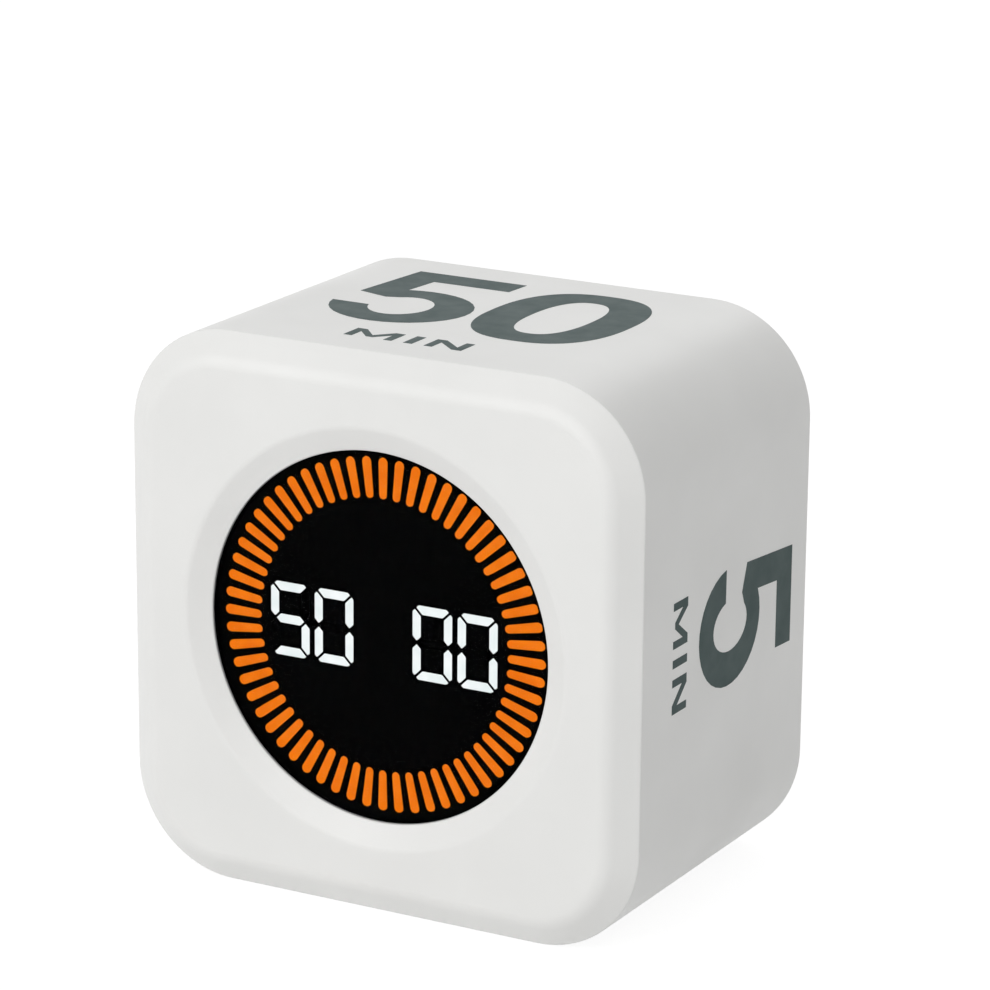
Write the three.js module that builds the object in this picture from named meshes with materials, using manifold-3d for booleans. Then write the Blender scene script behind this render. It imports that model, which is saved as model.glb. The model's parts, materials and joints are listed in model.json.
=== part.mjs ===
// A palm-sized countdown timer in a rounded square case, which is flipped onto one of four sides to
// set 5, 10, 25 or 50 minutes. Its front shows a lit ring of 60 bars round four digits.
// Millimetres, +Z up, front towards -Y, origin at the middle of the bottom.
import * as THREE from "three";
import { mergeVertices, toCreasedNormals } from "three/addons/utils/BufferGeometryUtils.js";
import Module from "manifold-3d";

const wasm = await Module();
wasm.setup();

// Driving dimensions: the case
const width = 62;
const height = 62;
const depth = 42;
const cornerRadius = 12;
const chamferInset = 3;
const chamferDepth = 2.2;
const chamferSoftening = 1; // width of the rounded crease round the front plane, each way
const wall = 2.2;
const rearEdgeRounding = 0.8;
const rearEdgeSteps = 4;
const cornerSteps = 7;
const creaseAngle = THREE.MathUtils.degToRad(23);

// Clearances
const seatGap = 0.05; // between faces that rest on each other
const slipFit = 0.15; // round a piece that slips into another
const moveFit = 0.2; // round a piece that moves
const overrun = 1; // how far a cutting shape stands past what it cuts
const bite = 0.3; // how far joined shapes sink into each other

// Window and the dish round it: the window takes a share of the case's shorter side
const windowShare = 0.33065;
const windowRadius = windowShare * Math.min(width, height);
const dishWidth = 2.7;
const dishRadius = windowRadius + dishWidth;
const dishDepth = 1.2;
const rimLand = 0.4;
const lensLap = 1.1; // how far the lens reaches behind the rim
const lensRadius = windowRadius + lensLap;
const lensThickness = 0.6; // of its flange; the step adds the rim's depth
const tapeThickness = 0.15;
const pocketWall = 1.7;
const roundSteps = 60;

// Display stack: the bars and digits are shares of the window's radius
const maskThickness = 1;
const guideThickness = 0.8;
const lightBoxThickness = 4;
const displayBoardThickness = 1.2;
const displayBoardInset = 6; // from the case's sides
const displayBoardCorner = 6;
const barCount = 60;
const barInnerShare = 0.7366;
const barOuterShare = 0.9561;
const barInnerWidthShare = 0.0424;
const barOuterWidthShare = 0.0522;
const barInnerRadius = windowRadius * barInnerShare;
const barOuterRadius = windowRadius * barOuterShare;
const barOuterWidth = windowRadius * barOuterWidthShare;
const barInnerWidth = windowRadius * barInnerWidthShare;
const barEndSteps = 2;
const guideFit = 0.04; // between a light guide's rib and its window
const guideRingInnerRadius = barInnerRadius - seatGap;
const guideRingLap = 0.1;
const guideRingOuterRadius = windowRadius + guideRingLap;
const digitWidthShare = 0.2317;
const digitHeightShare = 0.4;
const segmentThicknessShare = 0.0512;
const segmentCutShare = 0.0341;
const digitPitchShare = 0.2659;
const pairDistanceShare = 0.8537;
const digitWidth = windowRadius * digitWidthShare;
const digitHeight = windowRadius * digitHeightShare;
const segmentThickness = windowRadius * segmentThicknessShare;
const segmentGap = 0.32;
const segmentCornerCut = windowRadius * segmentCutShare;
const digitPitch = windowRadius * digitPitchShare;
const pairDistance = windowRadius * pairDistanceShare;
const guidePlateMargin = 0.3;
const ledWidth = 0.8;
const ledLength = 1.6;
const ledHeight = 0.6;

// Bezel skirt, its snap hooks and its screw posts
const skirtLength = 5;
const skirtThickness = 1.2;
const hookWidth = 9;
const hookDepth = 1.2;
const hookReach = 0.5;
const hookSetback = 2;
const postInset = 9.5; // from the case's sides
const postRadius = 2.4;

// Screws: one kind for the boards, one for the rear cover
const pilotRadius = 0.85;
const shankRadius = 0.8;
const screwHoleRadius = 1.15;
const screwHeadRadius = 1.8;
const screwHeadHeight = 1.1;
const screwTip = 0.5; // free pilot hole beyond the screw's end
const boardScrewReach = 3.6;
const coverScrewReach = 7;
const crossLength = 2.2;
const crossWidth = 0.45;
const crossDepth = 0.6;
const headSteps = 12;
const shankSteps = 8;

// Rear cover
const coverThickness = 2;
const coverRecess = 0.5; // how deep the cover lies inside the case's rim
const rebateWall = 1.4;
const coverScrewInset = 7; // from the case's sides
const bossRadius = 3;
const bossLength = 12;
const boardPostInset = 13.5; // from the case's sides
const boardPostRadius = 2.4;

// Main board and what it carries
const mainBoardInset = 9; // from the case's sides
const mainBoardCorner = 4;
const mainBoardThickness = 1.6;
const boardDistance = 6.4; // from the cover's inner face to the board

// Charging socket
const portHeight = -15;
const portShellWidth = 8.94;
const portShellHeight = 3.26;
const portShellWall = 0.3;
const portCornerRadius = 1.25;
const portMouthRecess = 0.35;
const portTongueWidth = 6.7;
const portTongueThickness = 0.7;
const portTongueRecess = 0.9;
const portBaseThickness = 1.5;
const plugRecessMargin = 1.9;
const plugRecessDepth = 0.5;

// Power slide switch
const switchHeight = 14;
const switchTravel = 2; // each way from the middle position
const switchBodyLength = 9.4;
const switchBodyWidth = 4.4;
const switchBodyHeight = 3.6;
const actuatorLength = 2;
const actuatorWidth = 1.6;
const actuatorRise = 2;
const actuatorSink = 1.4;
const knobLength = 6;
const knobWidth = 4.2;
const knobThickness = 0.95;
const knobCorner = 1;
const knobStemLength = 3.4;
const knobStemWidth = 2.8;
const knobPocketDepth = 1.1;
const knobRibCount = 3;
const knobRibWidth = 0.5;
const knobRibPitch = 1.3;
const knobRibHeight = 0.3;

// Push buttons
const buttonOffset = 12;
const buttonLevel = -1;
const buttonRadius = 3.6;
const buttonProud = 0.25;
const buttonFlange = 0.7;
const buttonFlangeThickness = 0.8;
const buttonTravel = 0.6;
const buttonStemRadius = 1.4;
const buttonEdgeRounding = 0.5;
const tactWidth = 6;
const tactHeight = 3.6;
const plungerRadius = 1.7;
const plungerRise = 1;
const plungerSink = 1.2;
const buttonSteps = 20;

// Buzzer and its sound holes
const buzzerLevel = -1;
const buzzerRadius = 4.5;
const buzzerHeight = 4.6;
const buzzerHoleRadius = 1;
const buzzerHoleDepth = 1.6;
const gasketInnerRadius = 3.1;
const soundHoleRadius = 0.55;
const soundHoleCircle = 1.9;
const soundHoleCount = 6;
const holeSteps = 8;

// Battery, leads and the cable between the boards
const batteryWidth = 34;
const batteryHeight = 25;
const batteryThickness = 6.5;
const batteryLevel = 5;
const batteryCorner = 2;
const foamThickness = 1;
const foamMargin = 4;
const leadDiameter = 1.2;
const leadSpacing = 2.5;
const leadSteps = 10;
const leadSides = 8;
const leadDrop = 4;
const plugAcross = 9;
const plugLevel = -9.5;
const socketWidth = 7.9;
const socketLength = 5.8;
const socketHeight = 3.4;
const plugHeight = 2.4;
const socketWall = 0.7;
const cableAcross = -9;
const cableLevel = -14;
const cableWidth = 8;
const cableThickness = 0.5;
const cableSway = 3;
const cableSteps = 12;
const cableSocketWidth = 10;
const cableSocketLength = 3.2;
const cableSocketHeight = 2;

// Chips
const pinWidth = 0.4;
const pinReach = 1;
const pinThickness = 0.25;
const chipSizes = {
  controller: { across: -8, level: 8, width: 7, length: 7, height: 1.4, pins: 5, pitch: 1.2, sides: 4 },
  charger: { across: 13, level: 3, width: 3.9, length: 4.9, height: 1.5, pins: 4, pitch: 1.27, sides: 2 },
  sensor: { across: 4, level: 3, width: 3, length: 3, height: 0.9, pins: 3, pitch: 0.8, sides: 2 },
  driver: { across: 6, level: -15, width: 5.3, length: 7.8, height: 1.7, pins: 5, pitch: 1.4, sides: 2 },
};
const crystalRadius = 1;
const crystalLength = 6;
const crystalAcross = 4;
const crystalLevel = 10;

// Stations along the depth, from the front to the rear
const frontY = -depth / 2;
const rearY = depth / 2;
const seamY = frontY + chamferDepth;
const rimY = frontY + dishDepth;
const lipBackY = rimY + rimLand;
const tapeY = lipBackY + seatGap;
const lensY = tapeY + tapeThickness + seatGap;
const maskY = lensY + lensThickness + seatGap;
const guideY = maskY + maskThickness + seatGap;
const lightBoxY = guideY + guideThickness + seatGap;
const displayBoardY = lightBoxY + lightBoxThickness + seatGap;
const displayBackY = displayBoardY + displayBoardThickness;
const batteryY = displayBackY + foamThickness + 2 * seatGap;
const coverOuterY = rearY - coverRecess;
const coverInnerY = coverOuterY - coverThickness;
const shoulderY = coverInnerY - seatGap;
const boardRearY = coverInnerY - boardDistance;
const boardFrontY = boardRearY - mainBoardThickness;
const onBoardY = boardRearY + seatGap;

// Outlines, as points in the plane of the front: x across, y up
const polar = (radius, angle) => new THREE.Vector2(radius * Math.cos(angle), radius * Math.sin(angle));

const circle = (radius, steps, x = 0, y = 0) =>
  Array.from({ length: steps }, (_, k) =>
    polar(radius, (2 * Math.PI * k) / steps).add(new THREE.Vector2(x, y)),
  );

function roundedRectangle(across, up, radius, steps, x = 0, y = 0) {
  const points = [];
  for (let corner = 0; corner < 4; corner++) {
    const sideX = corner === 0 || corner === 3 ? 1 : -1;
    const sideY = corner < 2 ? 1 : -1;
    const centre = new THREE.Vector2(x + sideX * (across / 2 - radius), y + sideY * (up / 2 - radius));
    for (let k = 0; k <= steps; k++) {
      points.push(polar(radius, (Math.PI / 2) * (corner + k / steps)).add(centre));
    }
  }
  return points;
}

const rectangle = (across, up, x = 0, y = 0) => [
  new THREE.Vector2(x - across / 2, y - up / 2),
  new THREE.Vector2(x + across / 2, y - up / 2),
  new THREE.Vector2(x + across / 2, y + up / 2),
  new THREE.Vector2(x - across / 2, y + up / 2),
];

// The case's outline, drawn in by a distance
const caseOutline = (inset) =>
  roundedRectangle(width - 2 * inset, height - 2 * inset, cornerRadius - inset, cornerSteps);

const turned = (points, angle) => points.map((p) => p.clone().rotateAround(new THREE.Vector2(), angle));

// The direction of a bar: the first one points straight up
const barAngle = (index) => Math.PI / 2 - (2 * Math.PI * index) / barCount;

// A tapered bar with round ends, turned to its place in the ring
function barOutline(index, grow) {
  const ends = [
    { x: barOuterRadius - barOuterWidth / 2, half: barOuterWidth / 2 + grow, from: -Math.PI / 2 },
    { x: barInnerRadius + barInnerWidth / 2, half: barInnerWidth / 2 + grow, from: Math.PI / 2 },
  ];
  const points = ends.flatMap(({ x, half, from }) =>
    Array.from({ length: barEndSteps + 1 }, (_, k) =>
      polar(half, from + (Math.PI * k) / barEndSteps).add(new THREE.Vector2(x, 0)),
    ),
  );
  return turned(points, barAngle(index));
}

// The seven segments of a digit with mitred corners, each shrunk by a distance
function segmentOutlines(x, y, shrink) {
  const gap = segmentGap + 2 * shrink;
  const right = digitWidth / 2 - shrink;
  const top = digitHeight / 2 - shrink;
  const thick = segmentThickness - 2 * shrink;
  const cut = segmentCornerCut;
  const offset = gap / 2 / Math.SQRT2;
  const apart = gap / Math.SQRT2;
  const horizontal = [
    [cut - right, top],
    [cut / 2 + offset - right, top - cut / 2 + offset],
    [thick + apart - right, top - thick],
    [right - thick - apart, top - thick],
    [right - cut / 2 - offset, top - cut / 2 + offset],
    [right - cut, top],
  ];
  const upright = [
    [right, top - cut],
    [right - cut / 2 + offset, top - cut / 2 - offset],
    [right - thick, top - thick - apart],
    [right - thick, thick / 2 + apart],
    [right - thick / 2, apart],
    [right, thick / 2 + apart],
  ];
  const middle = [
    [right - thick / 2 - apart, 0],
    [right - thick - apart, thick / 2],
    [thick + apart - right, thick / 2],
    [thick / 2 + apart - right, 0],
    [thick + apart - right, -thick / 2],
    [right - thick - apart, -thick / 2],
  ];
  const placed = (points, flipX, flipY) => {
    const made = points.map(([px, py]) => new THREE.Vector2(x + flipX * px, y + flipY * py));
    return flipX * flipY > 0 ? made : made.reverse();
  };
  return [
    placed(horizontal, 1, 1),
    placed(upright, 1, 1),
    placed(upright, 1, -1),
    placed(horizontal, 1, -1),
    placed(upright, -1, -1),
    placed(upright, -1, 1),
    placed(middle, 1, 1),
  ];
}

const digitCentres = [-1, 1].flatMap((pair) =>
  [-1, 1].map((side) => (pair * pairDistance) / 2 + (side * digitPitch) / 2),
);

// Solids
function solidOf(geometry) {
  geometry.deleteAttribute("normal");
  geometry.deleteAttribute("uv");
  const merged = mergeVertices(geometry);
  return new wasm.Manifold(
    new wasm.Mesh({
      numProp: 3,
      vertProperties: merged.attributes.position.array,
      triVerts: new Uint32Array(merged.index.array),
    }),
  );
}

// A flat outline with holes, carried along the depth from one station to another
function slab(outline, fromY, toY, holes = []) {
  const geometry = new THREE.ExtrudeGeometry(new THREE.Shape(outline), {
    depth: toY - fromY,
    bevelEnabled: false,
  });
  geometry.rotateX(Math.PI / 2);
  geometry.translate(0, toY, 0);
  return cut(solidOf(geometry), ...holes.map((hole) => slab(hole, fromY - overrun, toY + overrun)));
}

const drum = (radius, fromY, toY, x = 0, y = 0, steps = roundSteps) =>
  slab(circle(radius, steps, x, y), fromY, toY);

const block = (across, up, fromY, toY, x = 0, y = 0) => slab(rectangle(across, up, x, y), fromY, toY);

// A skin over outlines of equally many points at rising stations, closed at both ends
function loft(sections) {
  const count = sections[0].outline.length;
  const positions = sections.flatMap(({ outline, y }) => outline.flatMap((p) => [p.x, y, p.y]));
  const index = [];
  for (let s = 0; s + 1 < sections.length; s++) {
    for (let k = 0; k < count; k++) {
      const [a, b] = [s * count + k, s * count + ((k + 1) % count)];
      index.push(a, b + count, b, a, a + count, b + count);
    }
  }
  const last = (sections.length - 1) * count;
  for (const [a, b, c] of THREE.ShapeUtils.triangulateShape(sections[0].outline, [])) {
    index.push(a, b, c);
    index.push(last + a, last + c, last + b);
  }
  const geometry = new THREE.BufferGeometry();
  geometry.setAttribute("position", new THREE.Float32BufferAttribute(positions, 3));
  geometry.setIndex(index);
  return solidOf(geometry);
}

const join = (...solids) => solids.reduce((a, b) => a.add(b));
const cut = (solid, ...tools) => tools.reduce((a, b) => a.subtract(b), solid);

// Four places, one in each corner of the case, as far from both sides
const cornerPlaces = (inset) =>
  [-1, 1].flatMap((sideY) =>
    [-1, 1].map((sideX) => [sideX * (width / 2 - inset), sideY * (height / 2 - inset)]),
  );

// A board's outline: the case's sides drawn in, with small corners of its own
const boardOutline = (inset, corner) =>
  roundedRectangle(width - 2 * inset, height - 2 * inset, corner, 4);

// Case
function frontBezel() {
  const slope = chamferDepth / chamferInset;
  const edge = [
    { outline: caseOutline(chamferInset + chamferSoftening), y: frontY },
    { outline: caseOutline(chamferInset), y: frontY + (chamferSoftening * slope) / 4 },
    { outline: caseOutline(chamferInset - chamferSoftening), y: frontY + chamferSoftening * slope },
    { outline: caseOutline(0), y: seamY },
  ];
  const skirtInset = wall + slipFit;
  const skirt = slab(caseOutline(skirtInset), seamY - bite, seamY + skirtLength, [
    caseOutline(skirtInset + skirtThickness),
  ]);
  const pocketRadius = lensRadius + slipFit;
  const collar = drum(pocketRadius + pocketWall, seamY - bite, guideY);
  const posts = cornerPlaces(postInset).map(([x, y]) =>
    drum(postRadius, seamY - bite, displayBoardY - seatGap, x, y, headSteps),
  );
  const hooks = hookOutlines(hookReach, hookWidth).map((outline) =>
    slab(outline, hookY(), hookY() + hookDepth),
  );
  const body = join(loft(edge), skirt, collar, ...posts, ...hooks);
  const mouthRadius = dishRadius + (dishRadius - windowRadius) / 2;
  const dish = loft([
    { outline: circle(mouthRadius, roundSteps), y: frontY - dishDepth / 2 },
    { outline: circle(windowRadius, roundSteps), y: rimY },
  ]);
  const pilots = cornerPlaces(postInset).map(([x, y]) =>
    drum(
      pilotRadius,
      displayBackY - boardScrewReach - screwTip,
      displayBoardY + overrun,
      x,
      y,
      shankSteps,
    ),
  );
  return cut(
    body,
    dish,
    drum(windowRadius, rimY - bite, lipBackY + bite),
    drum(pocketRadius, lipBackY, guideY + overrun),
    ...pilots,
  );
}

const hookY = () => seamY + skirtLength - hookSetback - hookDepth;

// Four rectangles on the skirt's faces, reaching outwards
function hookOutlines(reach, across) {
  const faces = [width, height, width, height];
  return faces.map((size, side) => {
    const face = size / 2 - wall - slipFit;
    const outline = rectangle(reach + bite, across, face + (reach - bite) / 2);
    return turned(outline, (Math.PI / 2) * side);
  });
}

function bodyShell() {
  const sections = [{ outline: caseOutline(0), y: seamY + seatGap }];
  for (let k = 0; k <= rearEdgeSteps; k++) {
    const angle = ((Math.PI / 2) * k) / rearEdgeSteps;
    sections.push({
      outline: caseOutline(rearEdgeRounding * (1 - Math.cos(angle))),
      y: rearY - rearEdgeRounding * (1 - Math.sin(angle)),
    });
  }
  const hollow = slab(caseOutline(wall), seamY - overrun, rearY + overrun);
  const rebate = slab(caseOutline(rebateWall), shoulderY, rearY + overrun);
  const grooves = hookOutlines(hookReach + moveFit, hookWidth + 2 * moveFit).map((outline) =>
    slab(outline, hookY() - moveFit, hookY() + hookDepth + moveFit),
  );
  const tube = cut(loft(sections), hollow, rebate, ...grooves);
  const inside = slab(caseOutline(wall - bite), seamY, shoulderY);
  const places = cornerPlaces(coverScrewInset);
  const bosses = places.map(([x, y]) =>
    drum(bossRadius, shoulderY - bossLength, shoulderY, x, y, headSteps).intersect(inside),
  );
  const pilots = places.map(([x, y]) =>
    drum(
      pilotRadius,
      coverInnerY - coverScrewReach - screwTip,
      shoulderY + overrun,
      x,
      y,
      shankSteps,
    ),
  );
  return cut(join(tube, ...bosses), ...pilots);
}

function rearCover() {
  const soundHoles = circle(soundHoleCircle, soundHoleCount, 0, buzzerLevel).map((p) =>
    circle(soundHoleRadius, holeSteps, p.x, p.y),
  );
  soundHoles.push(circle(soundHoleRadius, holeSteps, 0, buzzerLevel));
  const slotLength = knobStemLength + 2 * (switchTravel + moveFit);
  const slotWidth = knobStemWidth + 2 * moveFit;
  const holes = [
    ...soundHoles,
    portOutline(slipFit),
    roundedRectangle(slotLength, slotWidth, moveFit, 2, 0, switchHeight),
    ...[-1, 1].map((side) =>
      circle(buttonRadius + moveFit, buttonSteps, side * buttonOffset, buttonLevel),
    ),
    ...cornerPlaces(coverScrewInset).map(([x, y]) => circle(screwHoleRadius, headSteps, x, y)),
  ];
  const plate = slab(caseOutline(rebateWall + slipFit), coverInnerY, coverOuterY, holes);
  const posts = cornerPlaces(boardPostInset).map(([x, y]) =>
    drum(boardPostRadius, boardRearY + seatGap, coverInnerY + bite, x, y, headSteps),
  );
  const pilots = cornerPlaces(boardPostInset).map(([x, y]) =>
    drum(
      pilotRadius,
      boardRearY - overrun,
      boardFrontY + boardScrewReach + screwTip,
      x,
      y,
      shankSteps,
    ),
  );
  const headSeats = cornerPlaces(coverScrewInset).map(([x, y]) =>
    drum(
      screwHeadRadius + slipFit,
      coverOuterY - screwHeadHeight - seatGap,
      coverOuterY + overrun,
      x,
      y,
      headSteps,
    ),
  );
  const knobPocket = slab(
    roundedRectangle(
      knobLength + 2 * (switchTravel + moveFit),
      knobWidth + 2 * moveFit,
      knobCorner + moveFit,
      3,
      0,
      switchHeight,
    ),
    coverOuterY - knobPocketDepth,
    coverOuterY + overrun,
  );
  const plugRecess = slab(
    portOutline(plugRecessMargin),
    coverOuterY - plugRecessDepth,
    coverOuterY + overrun,
  );
  return cut(join(plate, ...posts), ...pilots, ...headSeats, knobPocket, plugRecess);
}

// The charging socket's outline, grown by a distance
const portOutline = (grow) =>
  roundedRectangle(
    portShellWidth + 2 * grow,
    portShellHeight + 2 * grow,
    portCornerRadius + grow,
    4,
    0,
    portHeight,
  );

// Window and display: the lens has a step that fills the rim
const windowLens = () =>
  join(
    drum(lensRadius, lensY, lensY + lensThickness),
    drum(windowRadius - slipFit, rimY + seatGap, lensY + bite),
  );

const lensTape = () =>
  slab(circle(lensRadius - slipFit, roundSteps), tapeY, tapeY + tapeThickness, [
    circle(windowRadius + slipFit, roundSteps),
  ]);

const everyBar = (grow) => Array.from({ length: barCount }, (_, k) => barOutline(k, grow));

function displayMask() {
  const windows = [
    ...everyBar(guideFit),
    ...digitCentres.flatMap((x) => segmentOutlines(x, 0, -guideFit)),
  ];
  return slab(circle(lensRadius - slipFit, roundSteps), maskY, maskY + maskThickness, windows);
}

function barLightGuide() {
  const ring = slab(circle(guideRingOuterRadius, barCount), guideY, guideY + guideThickness, [
    circle(guideRingInnerRadius, barCount),
  ]);
  return join(ring, ...everyBar(0).map((outline) => slab(outline, maskY, guideY + bite)));
}

function digitLightGuide(x) {
  const plate = block(
    digitWidth + guidePlateMargin,
    digitHeight + guidePlateMargin,
    guideY,
    guideY + guideThickness,
    x,
  );
  return join(plate, ...segmentOutlines(x, 0, 0).map((outline) => slab(outline, maskY, guideY + bite)));
}

// Where each lamp sits: its place, and how far it is turned
function lampPlaces() {
  const radius = (barInnerRadius + barOuterRadius) / 2;
  const bars = Array.from({ length: barCount }, (_, k) => {
    const angle = barAngle(k);
    return { place: polar(radius, angle), angle };
  });
  const right = (digitWidth - segmentThickness) / 2;
  const top = (digitHeight - segmentThickness) / 2;
  const segments = digitCentres.flatMap((x) => [
    ...[top, 0, -top].map((y) => ({ place: new THREE.Vector2(x, y), angle: 0 })),
    ...[-1, 1].flatMap((side) =>
      [-1, 1].map((half) => ({
        place: new THREE.Vector2(x + side * right, (half * top) / 2),
        angle: Math.PI / 2,
      })),
    ),
  ]);
  return [...bars, ...segments];
}

const lampOutlines = (grow) =>
  lampPlaces().map(({ place, angle }) =>
    turned(rectangle(ledLength + 2 * grow, ledWidth + 2 * grow), angle).map((p) => p.add(place)),
  );

const lightBox = () =>
  slab(
    circle(lensRadius - slipFit, roundSteps),
    lightBoxY,
    lightBoxY + lightBoxThickness,
    lampOutlines(slipFit),
  );

function displayBoard() {
  const holes = cornerPlaces(postInset).map(([x, y]) => circle(screwHoleRadius, shankSteps, x, y));
  const outline = boardOutline(displayBoardInset, displayBoardCorner);
  const board = slab(outline, displayBoardY, displayBackY, holes);
  const lamps = lampOutlines(0).map((p) => slab(p, displayBoardY - ledHeight, displayBoardY + bite));
  return join(board, ...lamps);
}

// Screws: the head's underside is at y, and the shank runs towards the sign of reach
function screw(x, z, y, reach) {
  const side = Math.sign(reach);
  const head = [y - side * screwHeadHeight, y].sort((a, b) => a - b);
  const shank = [y - side * bite, y + reach].sort((a, b) => a - b);
  const outerFace = y - side * screwHeadHeight;
  const slot = [outerFace - side * overrun, outerFace + side * crossDepth].sort((a, b) => a - b);
  return cut(
    join(drum(screwHeadRadius, ...head, x, z, headSteps), drum(shankRadius, ...shank, x, z, shankSteps)),
    join(block(crossLength, crossWidth, ...slot, x, z), block(crossWidth, crossLength, ...slot, x, z)),
  );
}

// Main board
function mainBoard() {
  const outline = boardOutline(mainBoardInset, mainBoardCorner);
  const holes = cornerPlaces(boardPostInset).map(([x, y]) => circle(screwHoleRadius, shankSteps, x, y));
  return slab(outline, boardFrontY, boardRearY, holes);
}

// A chip on a board's face: y is that face, and side is the way the chip stands up from it
function chip(size, y, side) {
  const { across, level, width: bodyWidth, length, height: rise, pins, pitch, sides } = size;
  const foot = y + side * seatGap;
  const span = (from, to) => [foot + side * from, foot + side * to].sort((a, b) => a - b);
  const body = block(bodyWidth, length, ...span(0, rise), across, level);
  const pinRow = (alongX) =>
    [-1, 1].flatMap((edge) =>
      Array.from({ length: pins }, (_, k) => {
        const along = (k - (pins - 1) / 2) * pitch;
        const out = edge * ((alongX ? length : bodyWidth) / 2 + (pinReach - bite) / 2);
        const size = [pinReach + bite, pinWidth];
        return alongX
          ? block(size[1], size[0], ...span(0, pinThickness), across + along, level + out)
          : block(size[0], size[1], ...span(0, pinThickness), across + out, level + along);
      }),
    );
  return join(body, ...pinRow(false), ...(sides > 2 ? pinRow(true) : []));
}

const clockCrystal = () =>
  block(
    2 * crystalRadius,
    crystalLength,
    boardFrontY - seatGap - 2 * crystalRadius,
    boardFrontY - seatGap,
    crystalAcross,
    crystalLevel,
  );

function buzzerCan() {
  const top = onBoardY + buzzerHeight;
  return cut(
    drum(buzzerRadius, onBoardY, top, 0, buzzerLevel, buttonSteps),
    drum(buzzerHoleRadius, top - buzzerHoleDepth, top + overrun, 0, buzzerLevel, holeSteps),
  );
}

const buzzerGasket = () =>
  slab(
    circle(buzzerRadius, buttonSteps, 0, buzzerLevel),
    onBoardY + buzzerHeight + seatGap,
    coverInnerY - seatGap,
    [circle(gasketInnerRadius, buttonSteps, 0, buzzerLevel)],
  );

// Charging socket
const portMouthY = coverOuterY - portMouthRecess;

const portShell = () =>
  slab(portOutline(0), onBoardY, portMouthY, [portOutline(-portShellWall)]);

function portTongue() {
  const base = slab(
    portOutline(-portShellWall - seatGap),
    onBoardY,
    onBoardY + portBaseThickness,
  );
  const tongue = block(
    portTongueWidth,
    portTongueThickness,
    onBoardY + portBaseThickness - bite,
    portMouthY - portTongueRecess,
    0,
    portHeight,
  );
  return join(base, tongue);
}

// Power switch
const switchTopY = onBoardY + switchBodyHeight;

function switchBody() {
  const slot = block(
    actuatorLength + 2 * (switchTravel + moveFit),
    actuatorWidth + 2 * moveFit,
    switchTopY - actuatorSink - moveFit,
    switchTopY + overrun,
    0,
    switchHeight,
  );
  return cut(block(switchBodyLength, switchBodyWidth, onBoardY, switchTopY, 0, switchHeight), slot);
}

const switchActuator = () =>
  block(
    actuatorLength,
    actuatorWidth,
    switchTopY - actuatorSink,
    switchTopY + actuatorRise,
    0,
    switchHeight,
  );

function switchKnob() {
  const floorY = coverOuterY - knobPocketDepth + seatGap;
  const plate = slab(
    roundedRectangle(knobLength, knobWidth, knobCorner, 3, 0, switchHeight),
    floorY,
    floorY + knobThickness,
  );
  const stem = block(
    knobStemLength,
    knobStemWidth,
    switchTopY + moveFit,
    floorY + bite,
    0,
    switchHeight,
  );
  const ribs = Array.from({ length: knobRibCount }, (_, k) =>
    block(
      knobRibWidth,
      knobWidth - knobCorner,
      floorY + knobThickness - bite,
      floorY + knobThickness + knobRibHeight,
      (k - (knobRibCount - 1) / 2) * knobRibPitch,
      switchHeight,
    ),
  );
  const socket = block(
    actuatorLength + 2 * seatGap,
    actuatorWidth + 2 * seatGap,
    switchTopY - overrun,
    switchTopY + actuatorRise + seatGap,
    0,
    switchHeight,
  );
  return cut(join(plate, stem, ...ribs), socket);
}

// Push buttons: side is -1 or 1 across the rear
const tactTopY = onBoardY + tactHeight;

const tactBody = (side) =>
  cut(
    block(tactWidth, tactWidth, onBoardY, tactTopY, side * buttonOffset, buttonLevel),
    drum(
      plungerRadius + moveFit,
      tactTopY - plungerSink - buttonTravel - moveFit,
      tactTopY + overrun,
      side * buttonOffset,
      buttonLevel,
      headSteps,
    ),
  );

const tactPlunger = (side) =>
  drum(
    plungerRadius,
    tactTopY - plungerSink,
    tactTopY + plungerRise,
    side * buttonOffset,
    buttonLevel,
    headSteps,
  );

function buttonCap(side) {
  const [x, y] = [side * buttonOffset, buttonLevel];
  const topY = coverOuterY + buttonProud;
  const ring = (radius, at) => ({ outline: circle(radius, buttonSteps, x, y), y: at });
  const flangeY = coverInnerY - seatGap;
  const crown = loft([
    ring(buttonRadius, flangeY - bite),
    ring(buttonRadius, topY - buttonEdgeRounding),
    ring(buttonRadius - buttonEdgeRounding / 3, topY - buttonEdgeRounding / 3),
    ring(buttonRadius - buttonEdgeRounding, topY),
  ]);
  return join(
    crown,
    drum(buttonRadius + buttonFlange, flangeY - buttonFlangeThickness, flangeY, x, y, buttonSteps),
    drum(buttonStemRadius, tactTopY + plungerRise + seatGap, flangeY - bite, x, y, headSteps),
  );
}

// Battery, its leads and its plug
const foamPad = () =>
  block(
    batteryWidth - 2 * foamMargin,
    batteryHeight - 2 * foamMargin,
    displayBackY + seatGap,
    displayBackY + seatGap + foamThickness,
    0,
    batteryLevel,
  );

function batteryCell() {
  const corner = batteryCorner;
  const section = (inset, y) => ({
    outline: roundedRectangle(
      batteryWidth - 2 * inset,
      batteryHeight - 2 * inset,
      corner,
      3,
      0,
      batteryLevel,
    ),
    y,
  });
  const ease = corner / 2;
  return loft([
    section(ease, batteryY),
    section(0, batteryY + ease),
    section(0, batteryY + batteryThickness - ease),
    section(ease, batteryY + batteryThickness),
  ]);
}

const plugFaceY = boardFrontY - seatGap - socketHeight;

function batterySocket() {
  const outer = block(
    socketWidth,
    socketLength,
    plugFaceY,
    boardFrontY - seatGap,
    plugAcross,
    plugLevel,
  );
  const inner = block(
    socketWidth - 2 * socketWall,
    socketLength - 2 * socketWall,
    plugFaceY - overrun,
    boardFrontY - seatGap - socketWall,
    plugAcross,
    plugLevel,
  );
  return cut(outer, inner);
}

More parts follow.
